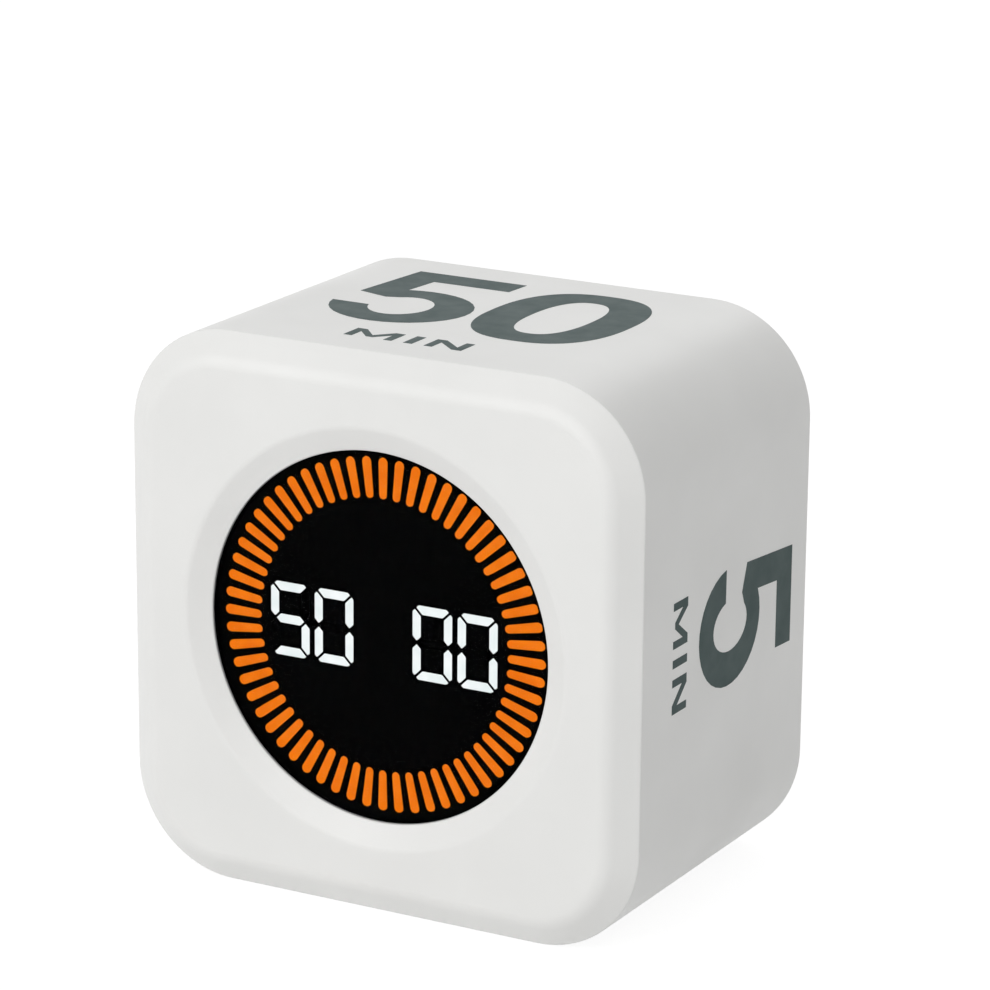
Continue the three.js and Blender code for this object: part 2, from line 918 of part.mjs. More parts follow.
const batteryPlug = () =>
  block(
    socketWidth - 2 * socketWall - 2 * slipFit,
    socketLength - 2 * socketWall - 2 * slipFit,
    plugFaceY - plugHeight / 2,
    boardFrontY - seatGap - socketWall - slipFit,
    plugAcross,
    plugLevel,
  );

// A lead leaves the cell's lower edge, drops, turns to the rear and runs straight into the plug behind it
function batteryLead(side) {
  const across = plugAcross + (side * leadSpacing) / 2;
  const cellEdge = batteryLevel - batteryHeight / 2;
  const cellMiddleY = batteryY + batteryThickness / 2;
  const plugBackY = plugFaceY - plugHeight / 2 - seatGap;
  const points = [
    new THREE.Vector3(across, cellMiddleY, cellEdge - seatGap),
    new THREE.Vector3(across, cellMiddleY, cellEdge - leadDiameter),
    new THREE.Vector3(
      across,
      (cellMiddleY + plugBackY) / 2,
      Math.min(cellEdge, plugLevel) - leadDrop,
    ),
    new THREE.Vector3(across, plugBackY - 2 * leadDiameter, plugLevel),
    new THREE.Vector3(across, plugBackY, plugLevel),
  ];
  const path = new THREE.CatmullRomCurve3(points, false, "catmullrom", 1 / 2);
  const section = new THREE.Shape(circle(leadDiameter / 2, leadSides));
  return solidOf(new THREE.ExtrudeGeometry(section, { steps: leadSteps, extrudePath: path }));
}

// The flat cable sways down between its two sockets: an outline in depth and height, as wide as the cable
function displayCable() {
  const fromY = displayBackY + seatGap + cableSocketHeight + seatGap;
  const toY = boardFrontY - seatGap - cableSocketHeight - seatGap;
  const side = (offset) =>
    Array.from({ length: cableSteps + 1 }, (_, k) => {
      const share = k / cableSteps;
      const sway = (cableSway * (1 - Math.cos(2 * Math.PI * share))) / 2;
      return new THREE.Vector2(fromY + (toY - fromY) * share, cableLevel - sway + offset);
    });
  const outline = [...side(-cableThickness / 2), ...side(cableThickness / 2).reverse()];
  const geometry = new THREE.ExtrudeGeometry(new THREE.Shape(outline), {
    depth: cableWidth,
    bevelEnabled: false,
  });
  geometry.rotateX(Math.PI / 2);
  geometry.rotateZ(Math.PI / 2);
  geometry.translate(cableAcross - cableWidth / 2, 0, 0);
  return solidOf(geometry);
}

// A socket for the flat cable on a board's face, standing up the way side says
function cableSocket(y, side) {
  const span = [y + side * seatGap, y + side * (seatGap + cableSocketHeight)].sort((a, b) => a - b);
  return block(cableSocketWidth, cableSocketLength, ...span, cableAcross, cableLevel);
}

// Materials
const plastic = (color, roughness) => new THREE.MeshStandardMaterial({ color, roughness, metalness: 0 });
const metal = (color, roughness) => new THREE.MeshStandardMaterial({ color, roughness, metalness: 1 });
const caseWhite = plastic("#e9e9e7", 0.32);
const smokedAcrylic = plastic("#07080a", 0.08);
const maskBlack = plastic("#050505", 0.5);
const litOrange = plastic("#f57a14", 0.5);
const litWhite = plastic("#eef4f4", 0.5);
const reflectorWhite = plastic("#f4f4f0", 0.6);
const boardGreen = plastic("#1d5b36", 0.45);
const chipBlack = plastic("#1b1c1e", 0.55);
const controlGrey = plastic("#4a5154", 0.5);
const socketIvory = plastic("#e8e0cc", 0.5);
const foamBlack = plastic("#26272a", 0.95);
const leadRed = plastic("#b3201c", 0.5);
const leadBlack = plastic("#17181a", 0.5);
const cableGrey = plastic("#c9ccd0", 0.5);
const foilSilver = metal("#c3c6c9", 0.4);
const steel = metal("#b9bbbd", 0.35);

// Assembly: every piece is made about the middle of the case, and the group lifts it onto its base
const timer = new THREE.Group();
const assembly = new THREE.Group();
assembly.position.z = height / 2;
timer.add(assembly);

function addPiece(name, solid, material) {
  const { numProp, numVert, vertProperties, triVerts } = solid.getMesh();
  const positions = new Float32Array(numVert * 3);
  for (let k = 0; k < numVert; k++) {
    positions.set(vertProperties.subarray(k * numProp, k * numProp + 3), k * 3);
  }
  const geometry = new THREE.BufferGeometry();
  geometry.setAttribute("position", new THREE.BufferAttribute(positions, 3));
  geometry.setIndex(new THREE.BufferAttribute(new Uint32Array(triVerts), 1));
  const mesh = new THREE.Mesh(toCreasedNormals(geometry, creaseAngle), material);
  mesh.name = name;
  assembly.add(mesh);
}

addPiece("front_bezel", frontBezel(), caseWhite);
addPiece("body_shell", bodyShell(), caseWhite);
addPiece("rear_cover", rearCover(), caseWhite);
addPiece("window_lens", windowLens(), smokedAcrylic);
addPiece("lens_tape", lensTape(), foamBlack);
addPiece("display_mask", displayMask(), maskBlack);
addPiece("bar_light_guide", barLightGuide(), litOrange);
const digitNames = ["minutes_tens", "minutes_units", "seconds_tens", "seconds_units"];
digitNames.forEach((name, k) => addPiece(`${name}_guide`, digitLightGuide(digitCentres[k]), litWhite));
addPiece("light_box", lightBox(), reflectorWhite);
addPiece("display_board", displayBoard(), boardGreen);
addPiece("display_driver_chip", chip(chipSizes.driver, displayBackY, 1), chipBlack);
addPiece("display_cable_socket", cableSocket(displayBackY, 1), socketIvory);
addPiece("display_cable", displayCable(), cableGrey);
addPiece("main_cable_socket", cableSocket(boardFrontY, -1), socketIvory);
addPiece("battery_foam", foamPad(), foamBlack);
addPiece("battery_cell", batteryCell(), foilSilver);
addPiece("battery_lead_red", batteryLead(-1), leadRed);
addPiece("battery_lead_black", batteryLead(1), leadBlack);
addPiece("battery_plug", batteryPlug(), socketIvory);
addPiece("battery_socket", batterySocket(), socketIvory);
addPiece("main_board", mainBoard(), boardGreen);
addPiece("controller_chip", chip(chipSizes.controller, boardFrontY, -1), chipBlack);
addPiece("charger_chip", chip(chipSizes.charger, boardFrontY, -1), chipBlack);
addPiece("orientation_sensor", chip(chipSizes.sensor, boardFrontY, -1), chipBlack);
addPiece("clock_crystal", clockCrystal(), steel);
addPiece("buzzer", buzzerCan(), chipBlack);
addPiece("buzzer_gasket", buzzerGasket(), foamBlack);
addPiece("usb_socket_shell", portShell(), steel);
addPiece("usb_socket_tongue", portTongue(), chipBlack);
addPiece("power_switch_body", switchBody(), steel);
addPiece("power_switch_actuator", switchActuator(), chipBlack);
addPiece("power_switch_knob", switchKnob(), controlGrey);
[
  ["minute_button", 1],
  ["second_button", -1],
].forEach(([name, side]) => {
  addPiece(`${name}_switch_body`, tactBody(side), steel);
  addPiece(`${name}_plunger`, tactPlunger(side), chipBlack);
  addPiece(`${name}_cap`, buttonCap(side), controlGrey);
});
cornerPlaces(postInset).forEach(([x, z], k) =>
  addPiece(`display_screw_${k + 1}`, screw(x, z, displayBackY + seatGap, -boardScrewReach), steel),
);
cornerPlaces(boardPostInset).forEach(([x, z], k) =>
  addPiece(`board_screw_${k + 1}`, screw(x, z, boardFrontY - seatGap, boardScrewReach), steel),
);
cornerPlaces(coverScrewInset).forEach(([x, z], k) =>
  addPiece(
    `cover_screw_${k + 1}`,
    screw(x, z, coverOuterY - screwHeadHeight, -coverScrewReach),
    steel,
  ),
);

export default timer;
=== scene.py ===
# A countdown timer that is flipped onto one of four sides: the finish of its white case, the lit display
# behind its window, the numbers printed on its sides and the controls on its rear. Metres, front towards -Y.
import json

import bpy
import numpy as np
from mathutils import Matrix, Vector
from mathutils.geometry import tessellate_polygon


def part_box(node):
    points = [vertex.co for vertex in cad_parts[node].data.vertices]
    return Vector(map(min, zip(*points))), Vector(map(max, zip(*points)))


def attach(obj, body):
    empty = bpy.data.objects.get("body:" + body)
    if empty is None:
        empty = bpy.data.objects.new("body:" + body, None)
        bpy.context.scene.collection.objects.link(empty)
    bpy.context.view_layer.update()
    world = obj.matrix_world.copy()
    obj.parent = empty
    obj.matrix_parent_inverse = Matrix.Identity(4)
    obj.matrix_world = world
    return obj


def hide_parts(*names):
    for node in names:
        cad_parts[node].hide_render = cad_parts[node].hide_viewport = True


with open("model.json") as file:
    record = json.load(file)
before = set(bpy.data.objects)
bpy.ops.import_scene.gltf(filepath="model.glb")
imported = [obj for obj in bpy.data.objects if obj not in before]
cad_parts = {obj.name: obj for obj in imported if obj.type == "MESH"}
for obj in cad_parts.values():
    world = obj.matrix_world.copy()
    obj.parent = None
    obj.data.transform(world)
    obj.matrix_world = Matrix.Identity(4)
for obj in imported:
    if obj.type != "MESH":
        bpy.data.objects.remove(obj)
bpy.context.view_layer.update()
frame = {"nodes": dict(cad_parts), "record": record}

MM = 0.001

# Case, as in the frame
CORNER = 12 * MM
CHAMFER_INSET = 3 * MM
CHAMFER_SOFTENING = 0.9 * MM
WALL = 2.2 * MM
REAR_ROUNDING = 0.8 * MM
REBATE_WALL = 1.4 * MM
COVER_THICKNESS = 2 * MM
SKIRT_LENGTH = 5 * MM
SKIRT_THICKNESS = 1.2 * MM
EDGE_BREAK = 0.1 * MM

# Gaps between pieces: pushed together, free to move, a light guide in its window, and faces kept apart
SLIP_FIT = 0.15 * MM
MOVE_FIT = 0.2 * MM
GUIDE_FIT = 0.04 * MM
SEAT_GAP = 0.05 * MM

# Window
DISH_RADIUS = 23.2 * MM
DISH_DEPTH = 1.2 * MM
DISH_LIP = 0.35 * MM
WINDOW_RADIUS = 20.5 * MM
RIM_ROUNDING = 0.18 * MM
RIM_LAND = 0.4 * MM
POCKET_WALL = 1.7 * MM
LENS_FLANGE = 0.6 * MM
LENS_EDGE = 0.06 * MM

# Display
BAR_COUNT = 60
BAR_INNER_RADIUS = 15.1 * MM
BAR_OUTER_RADIUS = 19.6 * MM
BAR_OUTER_WIDTH = 1.07 * MM
BAR_INNER_WIDTH = 0.87 * MM
GUIDE_RING_INNER = 15.05 * MM
GUIDE_THICKNESS = 0.8 * MM
GUIDE_PLATE_MARGIN = 0.3 * MM
DIGIT_WIDTH = 4.75 * MM
DIGIT_HEIGHT = 8.2 * MM
DIGIT_PITCH = 5.45 * MM
PAIR_DISTANCE = 17.5 * MM
SEGMENT_THICKNESS = 0.95 * MM
SEGMENT_GAP = 0.32 * MM
SEGMENT_CUT = 0.7 * MM
SEGMENT_NAMES = "abcdefg"
LIT_SEGMENTS = {"5": "afgcd", "0": "abcdef"}
SHOWN = {"minutes_tens": "5", "minutes_units": "0", "seconds_tens": "0", "seconds_units": "0"}

# Printing
INK_THICKNESS = 0.02 * MM
INK_SINK = 0.03 * MM

# Rear cover and controls
SCREW_HOLE_RADIUS = 1.15 * MM
SCREW_SHANK_RADIUS = 0.8 * MM
SCREW_HEAD_HEIGHT = 1.1 * MM
SCREW_CROWN = 0.25 * MM
CROWN_POWER = 6
CROSS_LENGTH = 2.2 * MM
CROSS_WIDTH = 0.45 * MM
CROSS_DEPTH = 0.6 * MM
CROSS_TAPER = 0.4
CROSS_EDGE = 0.06 * MM
BUTTON_FLANGE = 0.7 * MM
BUTTON_FLANGE_THICKNESS = 0.8 * MM
BUTTON_STEM_RADIUS = 1.4 * MM
BUTTON_SHOULDER = 0.45 * MM
BUTTON_HOLLOW = 0.35 * MM
SWITCH_TRAVEL = 2 * MM
KNOB_CORNER = 1 * MM
KNOB_EDGE = 0.22 * MM
KNOB_POCKET_DEPTH = 1.1 * MM
KNOB_THICKNESS = 0.95 * MM
KNOB_STEM = (3.4 * MM, 2.8 * MM)
STEM_CORNER = 0.2 * MM
RIB_COUNT = 3
RIB_WIDTH = 0.5 * MM
RIB_PITCH = 1.3 * MM
RIB_CORNER = 0.2 * MM
RIB_EDGE = 0.12 * MM
PORT_CORNER = 1.25 * MM
PORT_WALL = 0.3 * MM
PORT_EDGE = 0.08 * MM
PLUG_RECESS_MARGIN = 1.9 * MM
PLUG_RECESS_DEPTH = 0.5 * MM
SOUND_HOLE_RADIUS = 0.55 * MM
SOUND_HOLE_CIRCLE = 1.9 * MM
SOUND_HOLE_COUNT = 6

# How finely curves are cut
CORNER_STEPS = 24
SIDE_STEPS = 30
SEAM_STEPS = 4
CHAMFER_STEPS = 8
DISH_STEPS = 8
RIM_STEPS = 6
REAR_STEPS = 8
REBATE_STEPS = 3
DISC_STEPS = 160
LENS_EDGE_STEPS = 6
GUIDE_RING_STEPS = 180
BAR_END_STEPS = 8
ARC_POINTS = 28
OVAL_STEPS = 96
BOX_CORNER_STEPS = 10
SCREW_HOLE_STEPS = 48
SOUND_HOLE_STEPS = 24
SCREW_STEPS = 128
BUTTON_STEPS = 96
SHOULDER_STEPS = 7
EDGE_SHARE = 0.3
CREASE_DEG = 35.0

# Radii of the rings on a button's hollow and on a screw's head, as shares of the whole
HOLLOW_SHARES = np.linspace(0.98, 0.02, 14)
HEAD_SHARES = np.concatenate([np.linspace(1.0, 0.94, 4), np.linspace(0.9, 0.02, 44)])

# Stations read from the frame
shell_low, shell_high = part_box("body_shell")
lens_low, lens_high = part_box("window_lens")
mask_low, mask_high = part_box("display_mask")
guide_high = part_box("bar_light_guide")[1]
WIDTH = shell_high[0] - shell_low[0]
HEIGHT = shell_high[2] - shell_low[2]
MIDDLE_Z = HEIGHT / 2
CASE_MIDDLE = (0.0, 0.0, MIDDLE_Z)
FRONT_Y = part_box("front_bezel")[0][1]
SEAM_Y = shell_low[1]
REAR_Y = shell_high[1]
COVER_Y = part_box("rear_cover")[1][1]
COVER_INNER_Y = COVER_Y - COVER_THICKNESS
CHAMFER_DEPTH = SEAM_Y - FRONT_Y


# Outlines across the front, x to the right and z up from the middle of the case

def circle(radius, steps, x=0.0, z=0.0):
    """Points evenly round a circle: centre plus radius times the cosine and sine of the angle."""
    angle = np.arange(steps) * 2 * np.pi / steps
    return np.stack([x + radius * np.cos(angle), z + radius * np.sin(angle)], axis=1)


def rounded_rectangle(across, up, corner, corner_steps, side_steps=1, x=0.0, z=0.0):
    """Four quarter circles about the corner centres, joined by straight sides cut into equal steps."""
    points = []
    for k, (side_x, side_z) in enumerate([(1, 1), (-1, 1), (-1, -1), (1, -1)]):
        angle = np.pi / 2 * (k + np.arange(corner_steps + 1) / corner_steps)
        centre = np.array([x + side_x * (across / 2 - corner), z + side_z * (up / 2 - corner)])
        points.append(centre + corner * np.stack([np.cos(angle), np.sin(angle)], axis=1))
    share = (np.arange(1, side_steps) / side_steps)[:, None]
    loops = []
    for k in range(4):
        start, end = points[k][-1], points[(k + 1) % 4][0]
        loops += [points[k], start + (end - start) * share]
    return np.concatenate(loops)


def case_outline(inset, side_steps=SIDE_STEPS):
    """The case's outline drawn in by a distance, with as many points at every distance."""
    return rounded_rectangle(
        WIDTH - 2 * inset, HEIGHT - 2 * inset, CORNER - inset, CORNER_STEPS, side_steps
    )


def window_circle(radius):
    """The case outline's points, each moved along its ray from the middle onto a circle."""
    outline = case_outline(CHAMFER_INSET)
    return outline * (radius / np.linalg.norm(outline, axis=1))[:, None]


def turned(points, angle):
    """Each point turned about the middle by the usual rotation."""
    c, s = np.cos(angle), np.sin(angle)
    return points @ np.array([[c, s], [-s, c]])


def rounded_corner(before, corner, after, steps):
    """A quadratic curve that leaves the first point towards the corner and arrives at the last one."""
    t = np.linspace(0, 1, steps + 1)[:, None]
    before, corner, after = (np.array(p, dtype=float) for p in (before, corner, after))
    return (1 - t) ** 2 * before + 2 * t * (1 - t) * corner + t ** 2 * after


def round_shape(radius, steps, x, z):
    """A function of a distance that gives a circle grown by it."""
    return lambda grow: circle(radius + grow, steps, x, z)


def box_shape(across, up, corner, x, z):
    """A function of a distance that gives a rounded rectangle grown by it on every side."""
    return lambda grow: rounded_rectangle(
        across + 2 * grow, up + 2 * grow, corner + grow, BOX_CORNER_STEPS, x=x, z=z
    )


# Meshes

def add_object(name, data):
    """A new object in the scene, with its mesh, camera or lamp."""
    thing = bpy.data.objects.new(name, data)
    bpy.context.collection.objects.link(thing)
    return thing


def make_piece(name, points, faces, materials, face_material=None):
    """One object from points and faces, turned outwards by the sign of its volume, smooth but for creases.
    Normals are weighted by area, so a flat face stays flat up to its rounded edge."""
    points = np.asarray(points, dtype=float)
    volume = 0.0
    for f in faces:
        fan = points[list(f)]
        volume += np.einsum("ij,ij->", np.cross(fan[1:-1], fan[2:]), np.broadcast_to(fan[0], fan[2:].shape))
    ordered = [tuple(f) if volume > 0 else tuple(reversed(f)) for f in faces]
    mesh = bpy.data.meshes.new(name)
    mesh.from_pydata(points.tolist(), [], ordered)
    for material in materials:
        mesh.materials.append(material)
    if face_material is not None:
        mesh.polygons.foreach_set("material_index", np.asarray(face_material, dtype=np.int32))
    mesh.shade_smooth()
    mesh.set_sharp_from_angle(angle=np.radians(CREASE_DEG))
    mesh.update()
    piece = add_object(name, mesh)
    piece.modifiers.new("flat_faces", "WEIGHTED_NORMAL").keep_sharp = True
    return piece


def strip_faces(count, first, second):
    """Quads between two closed rings of equally many points, from the index of each ring's first point."""
    k = np.arange(count)
    n = (k + 1) % count
    return np.stack([first + k, first + n, second + n, second + k], axis=1).tolist()


def lift(points, y):
    """Points of an outline set at a depth, and raised to the middle of the case."""
    return np.stack([points[:, 0], np.full(len(points), y), points[:, 1] + MIDDLE_Z], axis=1)


def ring_surface(rings, closed_on_itself=False):
    """Rings of equal length joined in order: a tube that ends in two caps, or one that closes on itself."""
    count = len(rings[0])
    points = np.concatenate(rings)
    faces = []
    for k in range(len(rings) - (0 if closed_on_itself else 1)):
        faces += strip_faces(count, k * count, ((k + 1) % len(rings)) * count)
    if not closed_on_itself:
        faces.append(list(reversed(range(count))))
        faces.append(list(range(len(points) - count, len(points))))
    return points, faces


def joined(parts):
    """Several sets of points and faces as one set, with the faces numbered on."""
    points, faces, base = [], [], 0
    for part_points, part_faces in parts:
        points.append(np.asarray(part_points))
        faces += [[base + i for i in face] for face in part_faces]
        base += len(part_points)
    return np.concatenate(points), faces


def plate(outer, holes=()):
    """A flat plate: the outer wall and each hole's wall are rings of points at depths, and the two faces are
    the flat areas between the first rings and between the last rings."""
    points, faces, base = [], [], 0
    first, last = [], []
    for rings in (outer, *holes):
        count = len(rings[0][0])
        for loop, y in rings:
            points.append(lift(loop, y))
        for k in range(len(rings) - 1):
            strip = strip_faces(count, base + k * count, base + (k + 1) * count)
            faces += strip if rings is outer else [list(reversed(f)) for f in strip]
        first.append((rings[0][0], base))
        last.append((rings[-1][0], base + (len(rings) - 1) * count))
        base += len(rings) * count
    for loops, outwards in ((first, False), (last, True)):
        index = np.concatenate([start + np.arange(len(loop)) for loop, start in loops])
        flat = np.concatenate([loop for loop, _ in loops])
        polygons = [[Vector((x / MM, z / MM, 0.0)) for x, z in loop] for loop, _ in loops]
        for triangle in tessellate_polygon(polygons):
            a, b, c = (flat[i] for i in triangle)
            turn = (b[0] - a[0]) * (c[1] - a[1]) - (b[1] - a[1]) * (c[0] - a[0])
            corners = [int(index[i]) for i in triangle]
            faces.append(corners if (turn > 0) == outwards else corners[::-1])
    return np.concatenate(points), faces


def wall_rings(shape, low, high, edge, outwards=1, low_edge=0.0):
    """Rings of a wall from one depth to another, where shape(grow) is the outline grown by a distance. An
    edge is rounded by two rings, drawn in by its size and by a share of it. Holes have outwards at -1."""
    rings = [(shape(0.0), low + low_edge), (shape(0.0), high - edge)]
    if low_edge:
        part = low_edge * EDGE_SHARE
        rings = [(shape(-outwards * low_edge), low), (shape(-outwards * part), low + part), *rings]
    if edge:
        part = edge * EDGE_SHARE
        rings += [(shape(-outwards * part), high - part), (shape(-outwards * edge), high)]
    return rings


def lathe(section, steps, x, z):
    """A section of (radius, depth) turned about an axis that points to the rear, closed by its end discs."""
    return ring_surface([lift(circle(r, steps, x, z), y) for r, y in section])


# Materials. A noise's values lie mostly within its span, and a wave of scale 1 repeats after the period.

NOISE_SPAN = (0.3, 0.7)
WAVE_SPAN = (0.0, 1.0)
CELL_SPAN = (0.0, 0.6)
WAVE_PERIOD = np.pi / 10
INK_SHEEN = 0.12

# Real sizes of the patterns, and depths of their relief
CLOUD_SIZE = 14 * MM
RIPPLE_SIZE = 5 * MM
SKIN_GRAIN = 0.35 * MM
GRAIN_SHARE = 0.3
INK_PATCH = 3 * MM
INK_GRAIN = 0.25 * MM
INK_RELIEF = 0.004 * MM
HAZE_SIZE = 6 * MM
DUST_SIZE = 0.4 * MM
LAMP_PITCH = 2 * MM
WEAVE_PITCH = 0.5 * MM
WEAVE_RELIEF = 0.01 * MM
SPECK_RELIEF = 0.01 * MM
DRAWN_LINE = 0.12 * MM
DRAWN_STRETCH = (1.0, 0.08, 1.0)
DRAWN_RELIEF = 0.004 * MM
FOAM_CELL = 0.4 * MM
FOAM_RELIEF = 0.05 * MM
SLEEVE_PITCH = 1 * MM
SLEEVE_RELIEF = 0.1 * MM

# Sockets that are reached by number, because their names repeat on the node
MIX_SHARE, MIX_FIRST, MIX_SECOND, MIX_RESULT = 0, 6, 7, 2
RANGE_VALUE, RANGE_FROM_LOW, RANGE_FROM_HIGH, RANGE_TO_LOW, RANGE_TO_HIGH = range(5)


def linear(hex_colour):
    """A screen colour as linear light, by the sRGB curve."""
    value = np.array([int(hex_colour[i : i + 2], 16) for i in (1, 3, 5)]) / 255
    light = np.where(value <= 0.04045, value / 12.92, ((value + 0.055) / 1.055) ** 2.4)
    return (*light.tolist(), 1.0)


def add(tree, kind, inputs=None, **settings):
    """One shader node with its settings, its values and its links."""
    node = tree.nodes.new("ShaderNode" + kind)
    for name, value in settings.items():
        setattr(node, name, value)
    for name, value in (inputs or {}).items():
        if isinstance(value, bpy.types.NodeSocket):
            tree.links.new(value, node.inputs[name])
        else:
            node.inputs[name].default_value = value
    return node


def find_node(tree, node_type):
    """The node of a type that a new tree starts with."""
    return next(node for node in tree.nodes if node.type == node_type)


def principled(name, uniform):
    """A material with one Principled shader, and its values that are the same all over."""
    material = bpy.data.materials.new(name)
    material.use_nodes = True
    tree = material.node_tree
    shader = find_node(tree, "BSDF_PRINCIPLED")
    for socket, value in uniform.items():
        shader.inputs[socket].default_value = value
    return material, tree, shader


def patterned(name, uniform):
    """A Principled material whose patterns follow the place on the piece."""
    material, tree, shader = principled(name, uniform)
    return material, tree, shader, add(tree, "TexCoord").outputs["Object"]


def dress(tree, shader, pattern, span, colours, roughness, relief=None):
    """A pattern is stretched from its own span onto 0 to 1. It then mixes two colours and two values of
    roughness, and a relief, which is a height and its real depth, bends the normal."""
    link = tree.links.new
    stretch = {RANGE_VALUE: pattern, RANGE_FROM_LOW: span[0], RANGE_FROM_HIGH: span[1]}
    share = add(tree, "MapRange", stretch).outputs[0]
    first, second = (linear(colour) for colour in colours)
    blend = {MIX_SHARE: share, MIX_FIRST: first, MIX_SECOND: second}
    link(add(tree, "Mix", blend, data_type="RGBA").outputs[MIX_RESULT], shader.inputs["Base Color"])
    gloss = {RANGE_VALUE: share, RANGE_TO_LOW: roughness[0], RANGE_TO_HIGH: roughness[1]}
    link(add(tree, "MapRange", gloss).outputs[0], shader.inputs["Roughness"])
    if relief is not None:
        raised = add(tree, "Bump", {"Height": relief[0], "Distance": relief[1], "Strength": 1.0})
        link(raised.outputs[0], shader.inputs["Normal"])


def moulded_abs(name, colours, roughness, ripple):
    """ABS moulded in a polished steel tool: an even colour with faint clouding, a satin gloss that varies
    a little from handling, and the long shallow ripple of a cooled skin with fine grain over it."""
    material, tree, shader, place = patterned(name, {"Specular IOR Level": 0.5, "IOR": 1.53})
    clouds = add(tree, "TexNoise", {"Vector": place, "Scale": 1 / CLOUD_SIZE, "Detail": 3.0}).outputs[0]
    waves = add(tree, "TexNoise", {"Vector": place, "Scale": 1 / RIPPLE_SIZE, "Detail": 1.0}).outputs[0]
    grain = add(tree, "TexNoise", {"Vector": place, "Scale": 1 / SKIN_GRAIN}).outputs[0]
    skin = add(tree, "Math", {0: grain, 1: GRAIN_SHARE, 2: waves}, operation="MULTIPLY_ADD").outputs[0]
    dress(tree, shader, clouds, NOISE_SPAN, colours, roughness, (skin, ripple))
    return material


def pad_printed_ink(name, colours):
    """Pad-printing enamel: a thin, dark slate film, slightly thinner in places, with a low sheen."""
    material, tree, shader, place = patterned(name, {"Specular IOR Level": INK_SHEEN})
    patches = {"Vector": place, "Scale": 1 / INK_PATCH, "Detail": 4.0, "Roughness": 0.6}
    thin = add(tree, "TexNoise", patches).outputs[0]
    grain = add(tree, "TexNoise", {"Vector": place, "Scale": 1 / INK_GRAIN}).outputs[0]
    dress(tree, shader, thin, NOISE_SPAN, colours, (0.45, 0.55), (grain, INK_RELIEF))
    return material


def clear_acrylic(name):
    """Cast acrylic with a non-reflecting hard coat, which its low index stands for: clear, barely grey,
    with faint polishing haze."""
    material, tree, shader, place = patterned(name, {"Transmission Weight": 1.0, "IOR": 1.04})
    haze = add(tree, "TexNoise", {"Vector": place, "Scale": 1 / HAZE_SIZE, "Detail": 3.0}).outputs[0]
    dress(tree, shader, haze, NOISE_SPAN, ("#FBFCFC", "#F9FAFA"), (0.01, 0.03))
    return material


def black_film(name):
    """Light-tight black film: soot-black and velvet-matt, so that an unlit display disappears."""
    material, tree, shader, place = patterned(name, {"Specular IOR Level": 0.0})
    dust = add(tree, "TexNoise", {"Vector": place, "Scale": 1 / DUST_SIZE, "Detail": 3.0}).outputs[0]
    dress(tree, shader, dust, NOISE_SPAN, ("#020203", "#040405"), (0.55, 0.7))
    return material


def lit_diffuser(name, bright, deep):
    """Opal polycarbonate lit from behind: an even glow, a shade deeper away from the middle of each lamp,
    which stands 2 mm from the next."""
    material, tree, shader, place = patterned(name, {"Specular IOR Level": 0.1, "Emission Strength": 1.0})
    glow = add(tree, "TexNoise", {"Vector": place, "Scale": 1 / LAMP_PITCH, "Detail": 1.0}).outputs[0]
    dress(tree, shader, glow, NOISE_SPAN, ("#080808", "#060606"), (0.55, 0.65))
    stretch = {RANGE_VALUE: glow, RANGE_FROM_LOW: NOISE_SPAN[0], RANGE_FROM_HIGH: NOISE_SPAN[1]}
    share = add(tree, "MapRange", stretch).outputs[0]
    blend = {MIX_SHARE: share, MIX_FIRST: linear(bright), MIX_SECOND: linear(deep)}
    lit = add(tree, "Mix", blend, data_type="RGBA").outputs[MIX_RESULT]
    tree.links.new(lit, shader.inputs["Emission Color"])
    return material


def circuit_board(name):
    """Glass-fibre board under green lacquer: cloth woven 0.5 mm apart shows faintly through the gloss."""
    material, tree, shader, place = patterned(name, {"Specular IOR Level": 0.5, "Coat Weight": 0.4})
    threads = {"Vector": place, "Scale": WAVE_PERIOD / WEAVE_PITCH, "Distortion": 0.4}
    warp, weft = (
        add(tree, "TexWave", threads, bands_direction=direction).outputs["Fac"] for direction in "XZ"
    )
    cloth = add(tree, "Math", {0: warp, 1: weft}, operation="MULTIPLY").outputs[0]
    dress(tree, shader, cloth, WAVE_SPAN, ("#1A5231", "#226B40"), (0.3, 0.4), (cloth, WEAVE_RELIEF))
    return material


def moulded_compound(name, colours, roughness, speck_size):
    """A plain moulded compound, such as a chip's epoxy or a socket's polymer: fine specks and a dull skin."""
    material, tree, shader, place = patterned(name, {})
    specks = {"Vector": place, "Scale": 1 / speck_size, "Detail": 4.0, "Roughness": 0.7}
    speck = add(tree, "TexNoise", specks).outputs[0]
    dress(tree, shader, speck, NOISE_SPAN, colours, roughness, (speck, SPECK_RELIEF))
    return material


def plated_steel(name, colours, roughness):
    """Nickel-plated pressed steel: bright metal with the fine drawn lines, 0.12 mm apart, of the strip that
    it was pressed from."""
    material, tree, shader, place = patterned(name, {"Metallic": 1.0})
    stretched = {"Vector": place, "Scale": DRAWN_STRETCH}
    drawn = add(tree, "Mapping", stretched, vector_type="POINT").outputs[0]
    lines = add(tree, "TexNoise", {"Vector": drawn, "Scale": 1 / DRAWN_LINE, "Detail": 3.0}).outputs[0]
    dress(tree, shader, lines, NOISE_SPAN, colours, roughness, (lines, DRAWN_RELIEF))
    return material


def closed_cell_foam(name):
    """Black closed-cell foam: matt, with skinned cells about 0.4 mm across."""
    material, tree, shader, place = patterned(name, {"Specular IOR Level": 0.25})
    cells = add(tree, "TexVoronoi", {"Vector": place, "Scale": 1 / FOAM_CELL}).outputs["Distance"]
    dress(tree, shader, cells, CELL_SPAN, ("#2C2D30", "#18191B"), (0.8, 0.95), (cells, FOAM_RELIEF))
    return material


